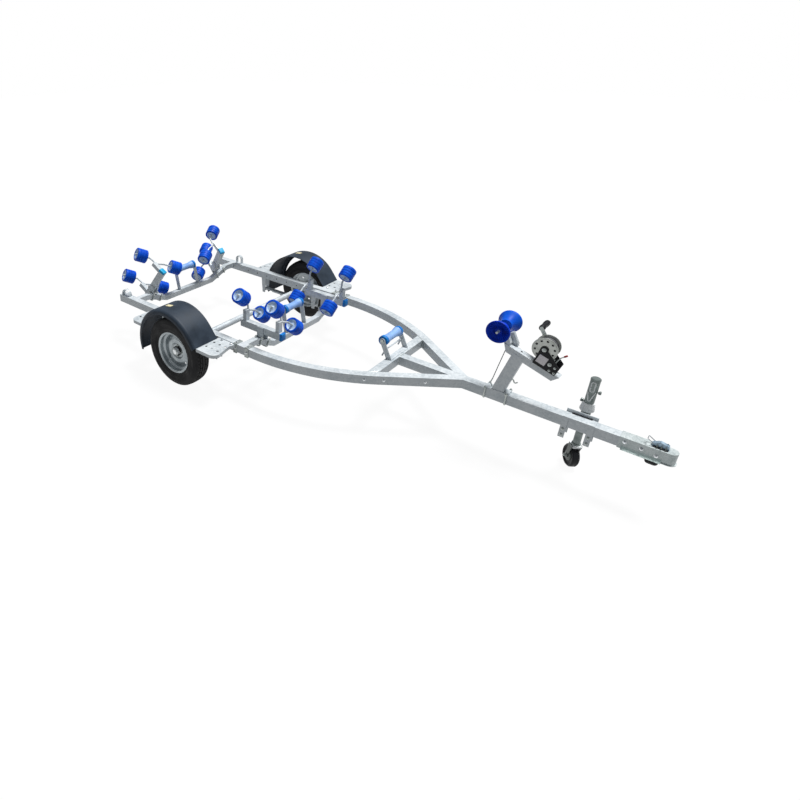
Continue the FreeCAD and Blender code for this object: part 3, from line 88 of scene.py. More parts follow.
# ---- materials: every finish is noise on the object's own coordinates, between a dark and a light tone
finishBase = {
    "metal": 0, "rough": (0.35, 0.5), "grain": 30, "spangle": 0, "bump": 0.1, "bumpScale": 300, "shine": 0.35}
finishes = {
    "galvanisedSteel": {
        "light": (0.66, 0.70, 0.72), "dark": (0.46, 0.51, 0.54), "metal": 0.2, "rough": (0.38, 0.58),
        "grain": 5, "spangle": 70, "bumpScale": 240},
    "zincPlate": {
        "light": (0.60, 0.64, 0.62), "dark": (0.38, 0.42, 0.41), "metal": 0.5, "rough": (0.28, 0.48),
        "grain": 14},
    "rollerBlue": {
        "light": (0.002, 0.110, 0.74), "dark": (0.001, 0.050, 0.48), "rough": (0.36, 0.54), "grain": 16,
        "bump": 0.08, "bumpScale": 220, "shine": 0.16},
    "hubFace": {
        "light": (0.62, 0.76, 0.93), "dark": (0.36, 0.54, 0.84), "grain": 26, "bump": 0.06, "bumpScale": 260},
    "guardPlastic": {
        "light": (0.030, 0.045, 0.066), "dark": (0.016, 0.025, 0.038), "rough": (0.42, 0.62), "grain": 7,
        "bump": 0.22, "bumpScale": 420, "shine": 0.28},
    "tyreRubber": {
        "light": (0.026, 0.026, 0.027), "dark": (0.010, 0.010, 0.011), "rough": (0.6, 0.85), "grain": 11,
        "bump": 0.25, "bumpScale": 360},
    "wheelPaint": {
        "light": (0.56, 0.61, 0.63), "dark": (0.30, 0.34, 0.36), "metal": 0.6, "rough": (0.3, 0.45),
        "grain": 12, "bump": 0.05, "bumpScale": 320},
    # black paint on black parts; also painted shade where it fills holes, the jack slit, the latch gap and the hub
    # collar
    "blackPaintAndShade": {
        "light": (0.014, 0.015, 0.018), "dark": (0.005, 0.005, 0.006), "rough": (0.38, 0.58), "grain": 20,
        "shine": 0.22},
    "capBlue": {
        "light": (0.012, 0.24, 0.68), "dark": (0.006, 0.12, 0.46), "bump": 0.06, "bumpScale": 260,
        "shine": 0.2},
    "capTeal": {
        "light": (0.02, 0.44, 0.76), "dark": (0.01, 0.28, 0.56), "bump": 0.06, "bumpScale": 260, "shine": 0.2},
    "gearSteel": {
        "light": (0.56, 0.58, 0.55), "dark": (0.34, 0.36, 0.34), "metal": 0.6, "rough": (0.3, 0.5), "grain": 24,
        "bump": 0.08, "bumpScale": 340},
    "leverRed": {
        "light": (0.45, 0.03, 0.03), "dark": (0.22, 0.01, 0.015), "bump": 0.05, "bumpScale": 260},
    "reflector": {
        "light": (0.85, 0.78, 0.5), "dark": (0.7, 0.6, 0.34), "rough": (0.2, 0.35), "spangle": 220,
        "bumpScale": 400},
    "webStrap": {
        "light": (0.14, 0.14, 0.15), "dark": (0.06, 0.06, 0.065), "rough": (0.7, 0.9), "grain": 60, "bump": 0.3,
        "bumpScale": 700},
    "keelPale": {
        "light": (0.30, 0.50, 0.86), "dark": (0.16, 0.32, 0.72), "rough": (0.32, 0.5), "grain": 20,
        "bump": 0.06, "bumpScale": 240},
    # a darker copy of rollerBlue for the near bow cone: painted shade
    "bowShadedBlue": {
        "light": (0.002, 0.052, 0.66), "dark": (0.001, 0.018, 0.36), "rough": (0.34, 0.5), "grain": 22,
        "bump": 0.08, "bumpScale": 220, "shine": 0.14},
    "capSteel": {
        "light": (0.80, 0.82, 0.84), "dark": (0.55, 0.58, 0.60), "metal": 0.9, "rough": (0.16, 0.3),
        "bump": 0.04},
    "jackSteel": {
        "light": (0.27, 0.31, 0.30), "dark": (0.12, 0.145, 0.14), "metal": 0.45, "rough": (0.3, 0.5),
        "grain": 18, "bump": 0.12},
    "couplerCoat": {
        "light": (0.62, 0.67, 0.67), "dark": (0.40, 0.46, 0.46), "metal": 0.3, "rough": (0.32, 0.52),
        "grain": 16, "spangle": 150, "bump": 0.12, "bumpScale": 320},
    # a near-white copy of the zinc, so that its shaded faces still come out white: painted light
    "paintedLitZinc": {
        "light": (0.95, 0.97, 0.97), "dark": (0.82, 0.85, 0.85), "grain": 20, "spangle": 90, "bump": 0.08},
    "forkSteel": {
        "light": (0.20, 0.22, 0.21), "dark": (0.10, 0.115, 0.11), "metal": 0.35, "rough": (0.35, 0.55),
        "grain": 22},
    "latchZinc": {
        "light": (0.42, 0.55, 0.66), "dark": (0.20, 0.30, 0.40), "metal": 0.45, "rough": (0.28, 0.45),
        "grain": 40, "bump": 0.12},
    # a paler copy of couplerCoat for the coupler's lower lip: painted highlight on its upward face
    "skirtHighlightCoat": {
        "light": (0.80, 0.95, 0.91), "dark": (0.64, 0.80, 0.76), "rough": (0.32, 0.5), "grain": 16,
        "spangle": 150, "bumpScale": 320},
    "labelPlate": {
        "light": (0.94, 0.91, 0.93), "dark": (0.76, 0.72, 0.75), "grain": 40, "bump": 0.04},
}
finishMix = {
    "detail": 6, "darkEnd": 0.3, "lightEnd": 0.62, "crystalShare": 0.28, "fineDetail": 3, "reliefDeep": 0.002}
materials = {}


def addNode(tree, kind, inputs):
    node = tree.nodes.new("ShaderNode" + kind)
    for key, value in inputs.items():
        node.inputs[key].default_value = value
    return node


def makeFinish(name, values):
    material = bpy.data.materials.new(name)
    material.use_nodes = True
    tree = material.node_tree
    link = tree.links.new
    shader = tree.nodes["Principled BSDF"]
    shader.inputs["Metallic"].default_value = values["metal"]
    shader.inputs["Specular IOR Level"].default_value = values["shine"]
    place = addNode(tree, "TexCoord", {})
    cloud = addNode(tree, "TexNoise", {"Scale": values["grain"], "Detail": finishMix["detail"]})
    link(place.outputs["Object"], cloud.inputs["Vector"])
    tone = addNode(tree, "ValToRGB", {})
    for stop, end in enumerate(("dark", "light")):
        tone.color_ramp.elements[stop].position = finishMix[end + "End"]
        tone.color_ramp.elements[stop].color = (*values[end], 1)
    pattern = cloud.outputs["Fac"]
    if values["spangle"]:
        # zinc crystals: each cell lies at its own brightness
        crystal = addNode(tree, "TexVoronoi", {"Scale": values["spangle"]})
        link(place.outputs["Object"], crystal.inputs["Vector"])
        blend = addNode(tree, "Mix", {"Factor": finishMix["crystalShare"]})
        link(cloud.outputs["Fac"], blend.inputs[2])
        link(crystal.outputs["Color"], blend.inputs[3])
        pattern = blend.outputs[0]
    link(pattern, tone.inputs["Fac"])
    link(tone.outputs["Color"], shader.inputs["Base Color"])
    gloss = addNode(tree, "MapRange", {
        "From Min": 0.3, "From Max": 0.7, "To Min": values["rough"][0], "To Max": values["rough"][1]})
    link(pattern, gloss.inputs["Value"])
    link(gloss.outputs["Result"], shader.inputs["Roughness"])
    fine = addNode(tree, "TexNoise", {"Scale": values["bumpScale"], "Detail": finishMix["fineDetail"]})
    link(place.outputs["Object"], fine.inputs["Vector"])
    relief = addNode(tree, "Bump", {"Strength": values["bump"], "Distance": finishMix["reliefDeep"]})
    link(fine.outputs["Fac"], relief.inputs["Height"])
    link(relief.outputs["Normal"], shader.inputs["Normal"])
    materials[name] = material


for name, values in finishes.items():
    makeFinish(name, {**finishBase, **values})
print("trailer: finishes mixed")


def bodyOf(node):
    for body, members in record["behaviour"]["bodies"].items():
        if node in members:
            return body


# ---- the CAD nodes that stay in view get their finish by name
nodeFinishes = (
    ("tyre", "tyreRubber"), ("rim", "wheelPaint"), ("hub", "zincPlate"), ("mudguard", "guardPlastic"),
    ("roller", "rollerBlue"), ("keel_roller", "rollerBlue"), ("bow_roller", "rollerBlue"),
    ("winch_frame", "blackPaintAndShade"), ("winch_drum", "gearSteel"), ("winch_crank", "zincPlate"),
    ("jack_wheel", "blackPaintAndShade"), ("jack_tube", "jackSteel"), ("jack_leg", "jackSteel"),
    ("jack_fork", "forkSteel"), ("coupler_latch", "latchZinc"), ("coupler", "couplerCoat"))


def dressNodes():
    for node, piece in frame["nodes"].items():
        finish = "galvanisedSteel"
        for start, choice in nodeFinishes:
            if node.startswith(start):
                finish = choice
                break
        piece.data.materials.clear()
        piece.data.materials.append(materials[finish])


dressNodes()
print("trailer: nodes dressed")

# ---- shaping tools shared by the pieces


def startClean():
    if bpy.context.object and bpy.context.object.mode != "OBJECT":
        bpy.ops.object.mode_set(mode="OBJECT")
    bpy.ops.object.select_all(action="DESELECT")


def settle(piece, name, finish, smooth=30):
    # gives the piece its name and finish, and puts its place into its mesh
    startClean()
    piece.select_set(True)
    bpy.context.view_layer.objects.active = piece
    bpy.ops.object.transform_apply(location=True, rotation=True, scale=True)
    bpy.ops.object.shade_smooth_by_angle(angle=math.radians(smooth))
    piece.name = name
    piece.data.name = name
    piece.data.materials.clear()
    piece.data.materials.append(materials[finish])
    return piece


def standing(piece, name, body, finish, smooth=30):
    settle(piece, name, finish, smooth)
    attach(piece, body)
    return piece


def pickFaces(piece, wanted):
    # leaves the piece in edit mode with the wanted faces picked
    startClean()
    piece.select_set(True)
    bpy.context.view_layer.objects.active = piece
    bpy.ops.object.mode_set(mode="EDIT")
    bpy.ops.mesh.select_mode(type="FACE")
    bpy.ops.mesh.select_all(action="DESELECT")
    bpy.ops.object.mode_set(mode="OBJECT")
    for face in piece.data.polygons:
        face.select = wanted(face)
    bpy.ops.object.mode_set(mode="EDIT")


def stepOf(spot, steps):
    # which of the steps about the Y axis a place falls in
    return int((math.atan2(spot.z, spot.x) % (2 * math.pi)) / (2 * math.pi / steps))


def spinPiece(profile, steps, sweep=360):
    # a profile of (radius, distance along Y) points turned about the Y axis
    startClean()
    bpy.ops.mesh.primitive_plane_add(size=0.001, location=(0, 0, 0))
    bpy.ops.object.mode_set(mode="EDIT")
    bpy.ops.mesh.select_mode(type="VERT")
    bpy.ops.mesh.merge(type="CENTER")
    bpy.ops.transform.translate(value=(profile[0][0], profile[0][1], 0))
    for before, after in zip(profile, profile[1:]):
        step = (after[0] - before[0], after[1] - before[1], 0)
        bpy.ops.mesh.extrude_region_move(TRANSFORM_OT_translate={"value": step})
    bpy.ops.mesh.select_all(action="SELECT")
    bpy.ops.mesh.spin(steps=steps, angle=math.radians(sweep), center=(0, 0, 0), axis=(0, 1, 0))
    bpy.ops.mesh.select_all(action="SELECT")
    bpy.ops.mesh.remove_doubles(threshold=0.00002)
    bpy.ops.mesh.normals_make_consistent(inside=False)
    bpy.ops.object.mode_set(mode="OBJECT")
    return bpy.context.object


def mirrored(side):
    # a profile that is the same on both sides of its middle
    return list(side) + [(radius, -across) for radius, across in reversed(side)]


def turned(profile, steps, spot, axis, name, body, finish, smooth=30):
    # a spun piece with its foot at the spot and its end along the axis
    piece = spinPiece(profile, steps)
    piece.data.transform(facing(spot, axis))
    return standing(piece, name, body, finish, smooth)


def copyOf(piece, name, placement):
    twin = piece.copy()
    twin.data = piece.data.copy()
    twin.name = name
    twin.data.name = name
    bpy.context.collection.objects.link(twin)
    twin.data.transform(placement)
    return twin


def facing(place, axis, turn=0.0):
    # where a piece modelled along +Y goes
    swing = Vector((0, 1, 0)).rotation_difference(Vector(axis)).to_matrix().to_4x4()
    return Matrix.Translation(place) @ swing @ Matrix.Rotation(turn, 4, "Y")


def remove(piece):
    bpy.data.objects.remove(piece, do_unlink=True)


joints = {joint["name"]: joint for joint in record["behaviour"]["joints"]}
sides = (("right", -1), ("left", 1))

# ---- road wheels: tyre with grooved tread, and the nuts on the disc
tyreSet = {
    "steps": 240, "wall": (
        (0.1700, 0.0570), (0.1822, 0.0652), (0.1862, 0.0702), (0.1905, 0.0722), (0.1960, 0.0724),
        (0.2000, 0.0742), (0.2120, 0.0772), (0.2135, 0.0782), (0.2165, 0.0784), (0.2185, 0.0779),
        (0.2360, 0.0800), (0.2520, 0.0806), (0.2540, 0.0813), (0.2590, 0.0811), (0.2610, 0.0800),
        (0.2730, 0.0780), (0.2830, 0.0742), (0.2905, 0.0690), (0.2960, 0.0630), (0.2990, 0.0570)),
    "tread": (
        (0.3005, 0.0480), (0.3010, 0.0430), (0.2950, 0.0418), (0.2950, 0.0360), (0.3022, 0.0348),
        (0.3036, 0.0180), (0.2970, 0.0168), (0.2970, 0.0112), (0.3038, 0.0100)),
    "treadFrom": 0.299, "grooves": ((0.0475, 0.0575, 4, 0.006), (0.0185, 0.0345, 6, 0.0035))}


def shapeTyre(values):
    tyre = spinPiece(mirrored(values["wall"] + values["tread"]), values["steps"])
    for low, high, every, depth in values["grooves"]:
        def inGroove(face):
            spot = face.center
            shift = 2 if spot.y < 0 else 0
            return (math.hypot(spot.x, spot.z) > values["treadFrom"] and low < abs(spot.y) < high
                    and (stepOf(spot, values["steps"]) + shift) % every == 0)

        pickFaces(tyre, inGroove)
        bpy.ops.mesh.extrude_region_shrink_fatten(TRANSFORM_OT_shrink_fatten={"value": -depth})
        bpy.ops.object.mode_set(mode="OBJECT")
    return tyre


nutSet = {"across": 0.0095, "circle": 0.05, "count": 4, "seat": 0.0095}


def hexNut(radius, high, stud=0.6, proud=0.4):
    # a nut along +Y with a chamfered crown and the end of its stud
    startClean()
    bpy.ops.mesh.primitive_cylinder_add(
        vertices=6, radius=radius, depth=high, location=(0, high / 2, 0), rotation=(math.radians(-90), 0, 0))
    bpy.ops.object.transform_apply(location=True, rotation=True, scale=True)
    nut = bpy.context.object
    pickFaces(nut, lambda face: face.normal.y > 0.9)
    bpy.ops.mesh.inset(thickness=radius * 0.14, depth=radius * 0.1)
    bpy.ops.mesh.inset(thickness=radius * (0.86 - stud), depth=0)
    bpy.ops.mesh.extrude_region_move(TRANSFORM_OT_translate={"value": (0, high * proud, 0)})
    bpy.ops.mesh.inset(thickness=radius * 0.12, depth=0)
    bpy.ops.object.mode_set(mode="OBJECT")
    return nut


def washer(radius, high):
    return spinPiece([(0, 0), (radius, 0), (radius, high * 0.7), (radius - high * 0.3, high), (0, high)], 20)


def joinPieces(pieces):
    startClean()
    for piece in pieces:
        piece.select_set(True)
    bpy.context.view_layer.objects.active = pieces[0]
    bpy.ops.object.join()
    return bpy.context.object


def boltSet(name, body, finish, size, spots):
    # spots are (place, axis) pairs; every one gets a washer and a nut of the same size
    pattern = joinPieces([hexNut(size, size * 1.1), washer(size * 1.35, size * 0.28)])
    bolts = []
    for number, (place, axis) in enumerate(spots):
        bolts.append(copyOf(pattern, "bolt", facing(place, axis, number * 0.7)))
    remove(pattern)
    return standing(joinPieces(bolts), name, body, finish)


def wheelSide(side, sign, tyrePattern):
    spin = joints["wheel_%s_spin" % side]
    centre = Vector(spin["pos_m"])
    outward = Vector((0, sign, 0))
    tyre = standing(copyOf(tyrePattern, "tyre", facing(centre, outward)), "tyre_tread_" + side,
                    "wheel_" + side, "tyreRubber", 32)
    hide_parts("tyre_" + side)
    spots = []
    for number in range(nutSet["count"]):
        angle = 2 * math.pi * number / nutSet["count"]
        spot = Vector((math.cos(angle), 0, math.sin(angle))) * nutSet["circle"] + outward * nutSet["seat"]
        spots.append((centre + spot, outward))
    boltSet("wheel_nuts_" + side, "wheel_" + side, "zincPlate", nutSet["across"], spots)


# ribbed dust cap over the bearing, and the black collar that it sits in, which is painted shade of the dark recess
# around the cap
hubCapSet = {"steps": 72, "cap": (
    (0.0, 0.0515), (0.016, 0.0515), (0.0215, 0.0500), (0.0245, 0.0475), (0.0270, 0.0465), (0.0300, 0.0455),
    (0.0328, 0.0440), (0.0335, 0.0415), (0.0325, 0.0400), (0.0335, 0.0385), (0.0335, 0.0345), (0.0325, 0.0330),
    (0.0335, 0.0315), (0.0335, 0.0275), (0.0345, 0.0262), (0.0345, 0.0240), (0.0, 0.0240)), "collar": (
    (0.0, 0.0050), (0.0395, 0.0050), (0.0420, 0.0070), (0.0420, 0.0240), (0.0405, 0.0262), (0.0365, 0.0270),
    (0.0350, 0.0255), (0.0, 0.0255))}


def hubCap(side, sign, values):
    centre = Vector(joints["wheel_%s_spin" % side]["pos_m"])
    # the collar's black is painted shade
    for part, finish in (("cap", "capSteel"), ("collar", "blackPaintAndShade")):
        turned(values[part], values["steps"], centre, (0, sign, 0), "hub_%s_%s" % (part, side),
               "wheel_" + side, finish, 35)


tyrePattern = shapeTyre(tyreSet)
for side, sign in sides:
    wheelSide(side, sign, tyrePattern)
    hubCap(side, sign, hubCapSet)
remove(tyrePattern)
print("trailer: wheels done")

# ---- hull rollers: grooved blue tread with a pale dished hub in each end
hullSet = {
    "radius": 0.065, "half": 0.052, "hub": 0.047, "dish": 0.009, "groove": 0.0028, "steps": 64,
    "grooves": (-0.026, 0.0, 0.026), "nut": 0.0085}


def shapeHullTread(values):
    radius, half, hub = values["radius"], values["half"], values["hub"]
    depth = values["groove"]
    side = [(hub, -half + 0.002), (hub + 0.001, -half), (radius - 0.006, -half), (radius - 0.0015, -half + 0.003),
            (radius, -half + 0.007)]
    grooves = []
    for spot in values["grooves"]:
        grooves += [(radius, spot - 0.0028), (radius - depth, spot - 0.0018),
                    (radius - depth, spot + 0.0018), (radius, spot + 0.0028)]
    both = mirrored(side)
    return spinPiece(both[:len(side)] + grooves + both[len(side):] + side[:1], values["steps"])


def shapeHullHub(values):
    hub, half, dish = values["hub"], values["half"], values["dish"]
    face = half - 0.003
    side = [(0.0, -face + dish - 0.004), (0.013, -face + dish - 0.004), (0.014, -face + dish - 0.001),
            (0.018, -face + dish), (0.036, -face + dish), (0.041, -face + 0.002), (hub, -face)]
    return spinPiece(mirrored(side), values["steps"])


hullTread = shapeHullTread(hullSet)
hullHub = shapeHullHub(hullSet)
for node in sorted(frame["nodes"]):
    if node.startswith("roller_"):
        spin = joints[node + "_spin"]
        centre = Vector(spin["pos_m"])
        axis = Vector(spin["axis"])
        place = facing(centre, axis)
        tread = standing(copyOf(hullTread, "tread", place), node + "_tread", bodyOf(node),
                         "rollerBlue", 35)
        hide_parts(node)
        standing(copyOf(hullHub, "hub", place), node + "_hub", bodyOf(node), "hubFace", 35)
        reach = hullSet["half"] - hullSet["dish"] + 0.001
        boltSet(node + "_nuts", bodyOf(node), "zincPlate", hullSet["nut"],
                [(centre + axis * reach, axis), (centre - axis * reach, -axis)])
remove(hullTread)
remove(hullHub)
print("trailer: hull rollers done")

# ---- keel rollers: pale spool with bluer ends
keelSet = {"steps": 56, "neck": 0.031, "radius": 0.0395, "half": 0.1215, "cap": 0.026}


def shapeKeel(values):
    radius, neck, half, cap = values["radius"], values["neck"], values["half"], values["cap"]
    side = [(0, -half + cap), (radius - 0.004, -half + cap), (radius - 0.001, -half + cap + 0.004),
            (radius - 0.002, -half + cap + 0.014), (neck, -0.052), (neck - 0.0006, -0.02)]
    return spinPiece(mirrored(side), values["steps"])


def shapeKeelCap(values):
    radius, half, cap = values["radius"], values["half"], values["cap"]
    rim = [(0, half - cap), (radius - 0.003, half - cap), (radius, half - cap + 0.003), (radius, half - 0.006),
           (radius - 0.0015, half - 0.002), (radius - 0.006, half), (0.02, half), (0.018, half - 0.005),
           (0, half - 0.005)]
    return spinPiece(rim, values["steps"])


keelSpool = shapeKeel(keelSet)
keelCap = shapeKeelCap(keelSet)
for node in sorted(frame["nodes"]):
    if node.startswith("keel_roller"):
        spin = joints[node + "_spin"]
        centre = Vector(spin["pos_m"])
        spool = standing(copyOf(keelSpool, "spool", facing(centre, (0, 1, 0))), node + "_spool",
                         bodyOf(node), "keelPale", 40)
        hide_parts(node)
        caps = [copyOf(keelCap, "cap", facing(centre, (0, sign, 0))) for sign in (-1, 1)]
        standing(joinPieces(caps), node + "_caps", bodyOf(node), "capBlue", 35)
        low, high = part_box(node.replace("roller", "bracket"))
        boltSet(node + "_nuts", "frame", "zincPlate", 0.011,
                [((centre.x, high[1], centre.z), (0, 1, 0)), ((centre.x, low[1], centre.z), (0, -1, 0))])
remove(keelSpool)
remove(keelCap)
print("trailer: keel rollers done")

# ---- bow roller: two ribbed cones on one pin, with a round nut at each end; the near cone is darker for painted shade
bowSet = {
    "steps": 96, "ribs": 24, "ribDepth": 0.006, "ribInner": 0.024, "ribOuter": 0.060, "nutOut": 0.101,
    "nut": ((0, 0.006), (0.005, 0.0055), (0.0085, 0.0025), (0.0095, -0.001), (0.0095, -0.012), (0, -0.012)),
    "cone": (
        (0.0, 0.024), (0.0385, 0.024), (0.040, 0.026), (0.0405, 0.032), (0.0425, 0.040), (0.0510, 0.062),
        (0.0620, 0.082), (0.0705, 0.094), (0.0755, 0.101), (0.0770, 0.105), (0.0767, 0.110), (0.0745, 0.1135),
        (0.0715, 0.114), (0.0695, 0.1120), (0.0670, 0.1085), (0.0620, 0.1020), (0.0420, 0.0930),
        (0.0240, 0.0880), (0.0225, 0.0885), (0.0210, 0.0925), (0.0165, 0.0930), (0.0150, 0.0900), (0.0, 0.0900))}


def shapeBow(values):
    cone = spinPiece(values["cone"], values["steps"])
    perRib = values["steps"] // values["ribs"]

    def betweenRibs(face):
        out = math.hypot(face.center.x, face.center.z)
        return (face.normal.y > 0.5 and values["ribInner"] < out < values["ribOuter"]
                and stepOf(face.center, values["steps"]) % perRib > 0)

    pickFaces(cone, betweenRibs)
    bpy.ops.mesh.extrude_region_move(TRANSFORM_OT_translate={"value": (0, -values["ribDepth"], 0)})
    bpy.ops.object.mode_set(mode="OBJECT")
    return cone


bowCone = shapeBow(bowSet)
bowPlace = Vector(joints["bow_roller_spin"]["pos_m"])
# the near (right) cone gets the darker blue, painted shade; the far cone the plain roller blue
for side, sign, finish in (("right", -1, "bowShadedBlue"), ("left", 1, "rollerBlue")):
    cone = standing(copyOf(bowCone, "cone", facing(bowPlace, (0, sign, 0))), "bow_cone_" + side,
                    "bow_roller", finish, 30)
    if sign < 0:
        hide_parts("bow_roller")
    turned(bowSet["nut"], 32, (bowPlace.x, sign * bowSet["nutOut"], bowPlace.z), (0, sign, 0), "bow_nut_" + side,
           "frame", "hubFace", 35)
remove(bowCone)
print("trailer: bow roller done")

# ---- rods, bent as on a bench: a disc drawn along its route and turned at each corner


def bentBar(route, radius, bend, sides=14, turns=5):
    route = [Vector(point) for point in route]
    startClean()
    first = (route[1] - route[0]).normalized()
    bpy.ops.mesh.primitive_circle_add(
        vertices=sides, radius=radius, fill_type="NGON", location=route[0],
        rotation=first.to_track_quat("Z", "Y").to_euler())
    bpy.ops.object.transform_apply(location=True, rotation=True, scale=True)
    bar = bpy.context.object
    bpy.ops.object.mode_set(mode="EDIT")
    bpy.ops.mesh.select_mode(type="FACE")
    bpy.ops.mesh.select_all(action="SELECT")
    start = route[0]
    for before, corner, after in zip(route, route[1:], route[2:]):
        inward = (before - corner).normalized()
        outward = (after - corner).normalized()
        turn = math.pi - inward.angle(outward)
        reach = bend * math.tan(turn / 2)
        arcStart = corner + inward * reach
        arcEnd = corner + outward * reach
        centre = corner + (inward + outward).normalized() * (bend / math.cos(turn / 2))
        axis = (-inward).cross(outward).normalized()
        bpy.ops.mesh.extrude_region_move(TRANSFORM_OT_translate={"value": arcStart - start})
        bpy.ops.mesh.spin(steps=turns, angle=-turn, center=centre, axis=axis)
        start = arcEnd
    bpy.ops.mesh.extrude_region_move(TRANSFORM_OT_translate={"value": route[-1] - start})
    bpy.ops.mesh.select_all(action="SELECT")
    bpy.ops.mesh.remove_doubles(threshold=0.00001)
    bpy.ops.mesh.normals_make_consistent(inside=False)
    bpy.ops.object.mode_set(mode="OBJECT")
    return bar


def boxPiece(low, high, bevel, segments=2):
    # a plate or block between two corners with rounded edges
    low, high = Vector(low), Vector(high)
    startClean()
    bpy.ops.mesh.primitive_cube_add(size=1, location=(low + high) / 2)
    block = bpy.context.object
    block.scale = high - low
    bpy.ops.object.transform_apply(location=True, rotation=True, scale=True)
    bpy.ops.object.mode_set(mode="EDIT")
    bpy.ops.mesh.select_all(action="SELECT")
    bpy.ops.mesh.bevel(offset=bevel, segments=segments, affect="EDGES")
    bpy.ops.object.mode_set(mode="OBJECT")
    return block


# ---- clamps: U-bolts over the tubes that they hold, each with two nuts


def uBolt(middle, across, up, wide, legs, radius):
    # across is the direction between its legs, up points from the legs' ends to its bow
    middle, across, up = Vector(middle), Vector(across).normalized(), Vector(up).normalized()
    half = across * wide / 2
    bow = bentBar([middle - half - up * legs, middle - half, middle + half, middle + half - up * legs],
                  radius, radius * 2.6, 12, 4)
    parts = [bow]
    for end in (-half, half):
        nut = hexNut(radius * 1.7, radius * 1.6, 0.62, 0.5)
        parts.append(copyOf(nut, "nut", facing(middle + end - up * legs * 0.82, -up)))
        remove(nut)
    return joinPieces(parts)


axleLine = Vector(joints["wheel_right_spin"]["pos_m"])
# lengths along the trailer are counted from the axle for the springs, and from the frame's origin for the post
clampSet = {
    "rod": 0.006, "springWide": 0.062, "springLegs": 0.085, "springUp": 0.034, "springSpots": (-0.036, 0.036),
    "beamLegs": 0.076, "beamSpots": (-0.048, 0.048), "beamTop": 0.453, "beamOut": 0.54, "beamRun": 0.22,
    "beamDrop": {"middle": 0.100, "rear": 0.078}, "beamDeep": 0.05, "postLegs": 0.094, "postSpots": (1.152, 1.294),
    "jackIn": 0.018, "jackHeights": (0.322, 0.366), "jackPlate": 0.006, "jackBolt": 0.008}


def springClamps(values):
    for side in ("right", "left"):
        low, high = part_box("spring_" + side)
        bolts = []
        for along in values["springSpots"]:
            spot = (axleLine.x + along, (low[1] + high[1]) / 2, axleLine.z + values["springUp"])
            bolts.append(uBolt(spot, (0, 1, 0), (0, 0, 1), values["springWide"], values["springLegs"],
                               values["rod"]))
        standing(joinPieces(bolts), "spring_clamps_" + side, "frame", "zincPlate")


springClamps(clampSet)


def carriageClamps(values):
    for name, drop in values["beamDrop"].items():
        low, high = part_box(name + "_crossmember")
        wide = high[0] - low[0] + 2 * values["rod"] + 0.001
        slope = math.atan2(drop, values["beamRun"])
        for side, sign in sides:
            pivot = Vector(joints["carriage_%s_%s_tip" % (name, side)]["pos_m"])
            bolts = []
            for away in values["beamSpots"]:
                # the bow hugs the beam from below, its legs come up through the bracket's base
                across = abs(pivot.y) + away
                top = values["beamTop"] - drop * (values["beamOut"] - across) / values["beamRun"]
                up = Vector((0, -sign * math.sin(slope), math.cos(slope)))
                spot = Vector(((low[0] + high[0]) / 2, sign * across, top))
                spot -= up * (values["beamDeep"] + values["rod"])
                bolts.append(uBolt(spot, (1, 0, 0), -up, wide, values["beamLegs"], values["rod"]))
            standing(joinPieces(bolts), "beam_clamps_%s_%s" % (name, side), "frame", "zincPlate")


carriageClamps(clampSet)


def postClamps(values):
    low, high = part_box("drawbar")
    wide = high[1] - low[1] + 2 * values["rod"] + 0.001
    bolts = []
    for ahead in values["postSpots"]:
        spot = (ahead, 0, low[2] - values["rod"])
        bolts.append(uBolt(spot, (0, 1, 0), (0, 0, -1), wide, values["postLegs"], values["rod"]))
    standing(joinPieces(bolts), "post_clamps", "frame", "zincPlate")


postClamps(clampSet)


def jackClamps(values):
    low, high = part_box("jack_bracket")
    beamLow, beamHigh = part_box("drawbar")
    spots = []
    for x in (low[0] + values["jackIn"], high[0] - values["jackIn"]):
        for z in values["jackHeights"]:
            spots.append(((x, beamLow[1] - values["jackPlate"], z), (0, -1, 0)))
            spots.append(((x, beamHigh[1] + values["jackPlate"], z), (0, 1, 0)))
    boltSet("jack_clamp_bolts", "frame", "zincPlate", values["jackBolt"], spots)


jackClamps(clampSet)
print("trailer: clamps done")

# ---- caps in the ends of the carriage arms
capSet = {"high": 0.060, "wide": 0.050, "proud": 0.008, "grip": 0.016, "lip": 0.0012, "lipDeep": 0.003, "ends": {
    "middle": (0.215, 0.0, "capBlue"), "rear": (0.232, 55.0, "capTeal")}}


def armCaps(values):
    wide, high, lip = values["wide"] / 2, values["high"] / 2, values["lip"]
    for name, (reach, tip, finish) in values["ends"].items():
        for side in ("right", "left"):
            spin = joints["carriage_%s_%s_tip" % (name, side)]
            pivot, across, up = Vector(spin["pos_m"]), Vector(spin["axis"]), Vector((0, 0, 1))
            armTurn = Matrix((across.cross(up), across, up)).transposed().to_4x4()
            turn = Matrix.Translation(pivot) @ armTurn @ Matrix.Rotation(math.radians(-tip), 4, "Y")
            cap = boxPiece((reach, -wide, -high), (reach + values["proud"], wide, high), 0.0028)
            skirt = boxPiece((reach - values["grip"], -wide - lip, -high - lip),
                             (reach + values["lipDeep"], wide + lip, high + lip), lip, 1)
            both = joinPieces([cap, skirt])
            both.data.transform(turn)
            standing(both, "arm_cap_%s_%s" % (name, side), bodyOf("carriage_%s_%s" % (name, side)),
                     finish)


armCaps(capSet)
print("trailer: arm caps done")

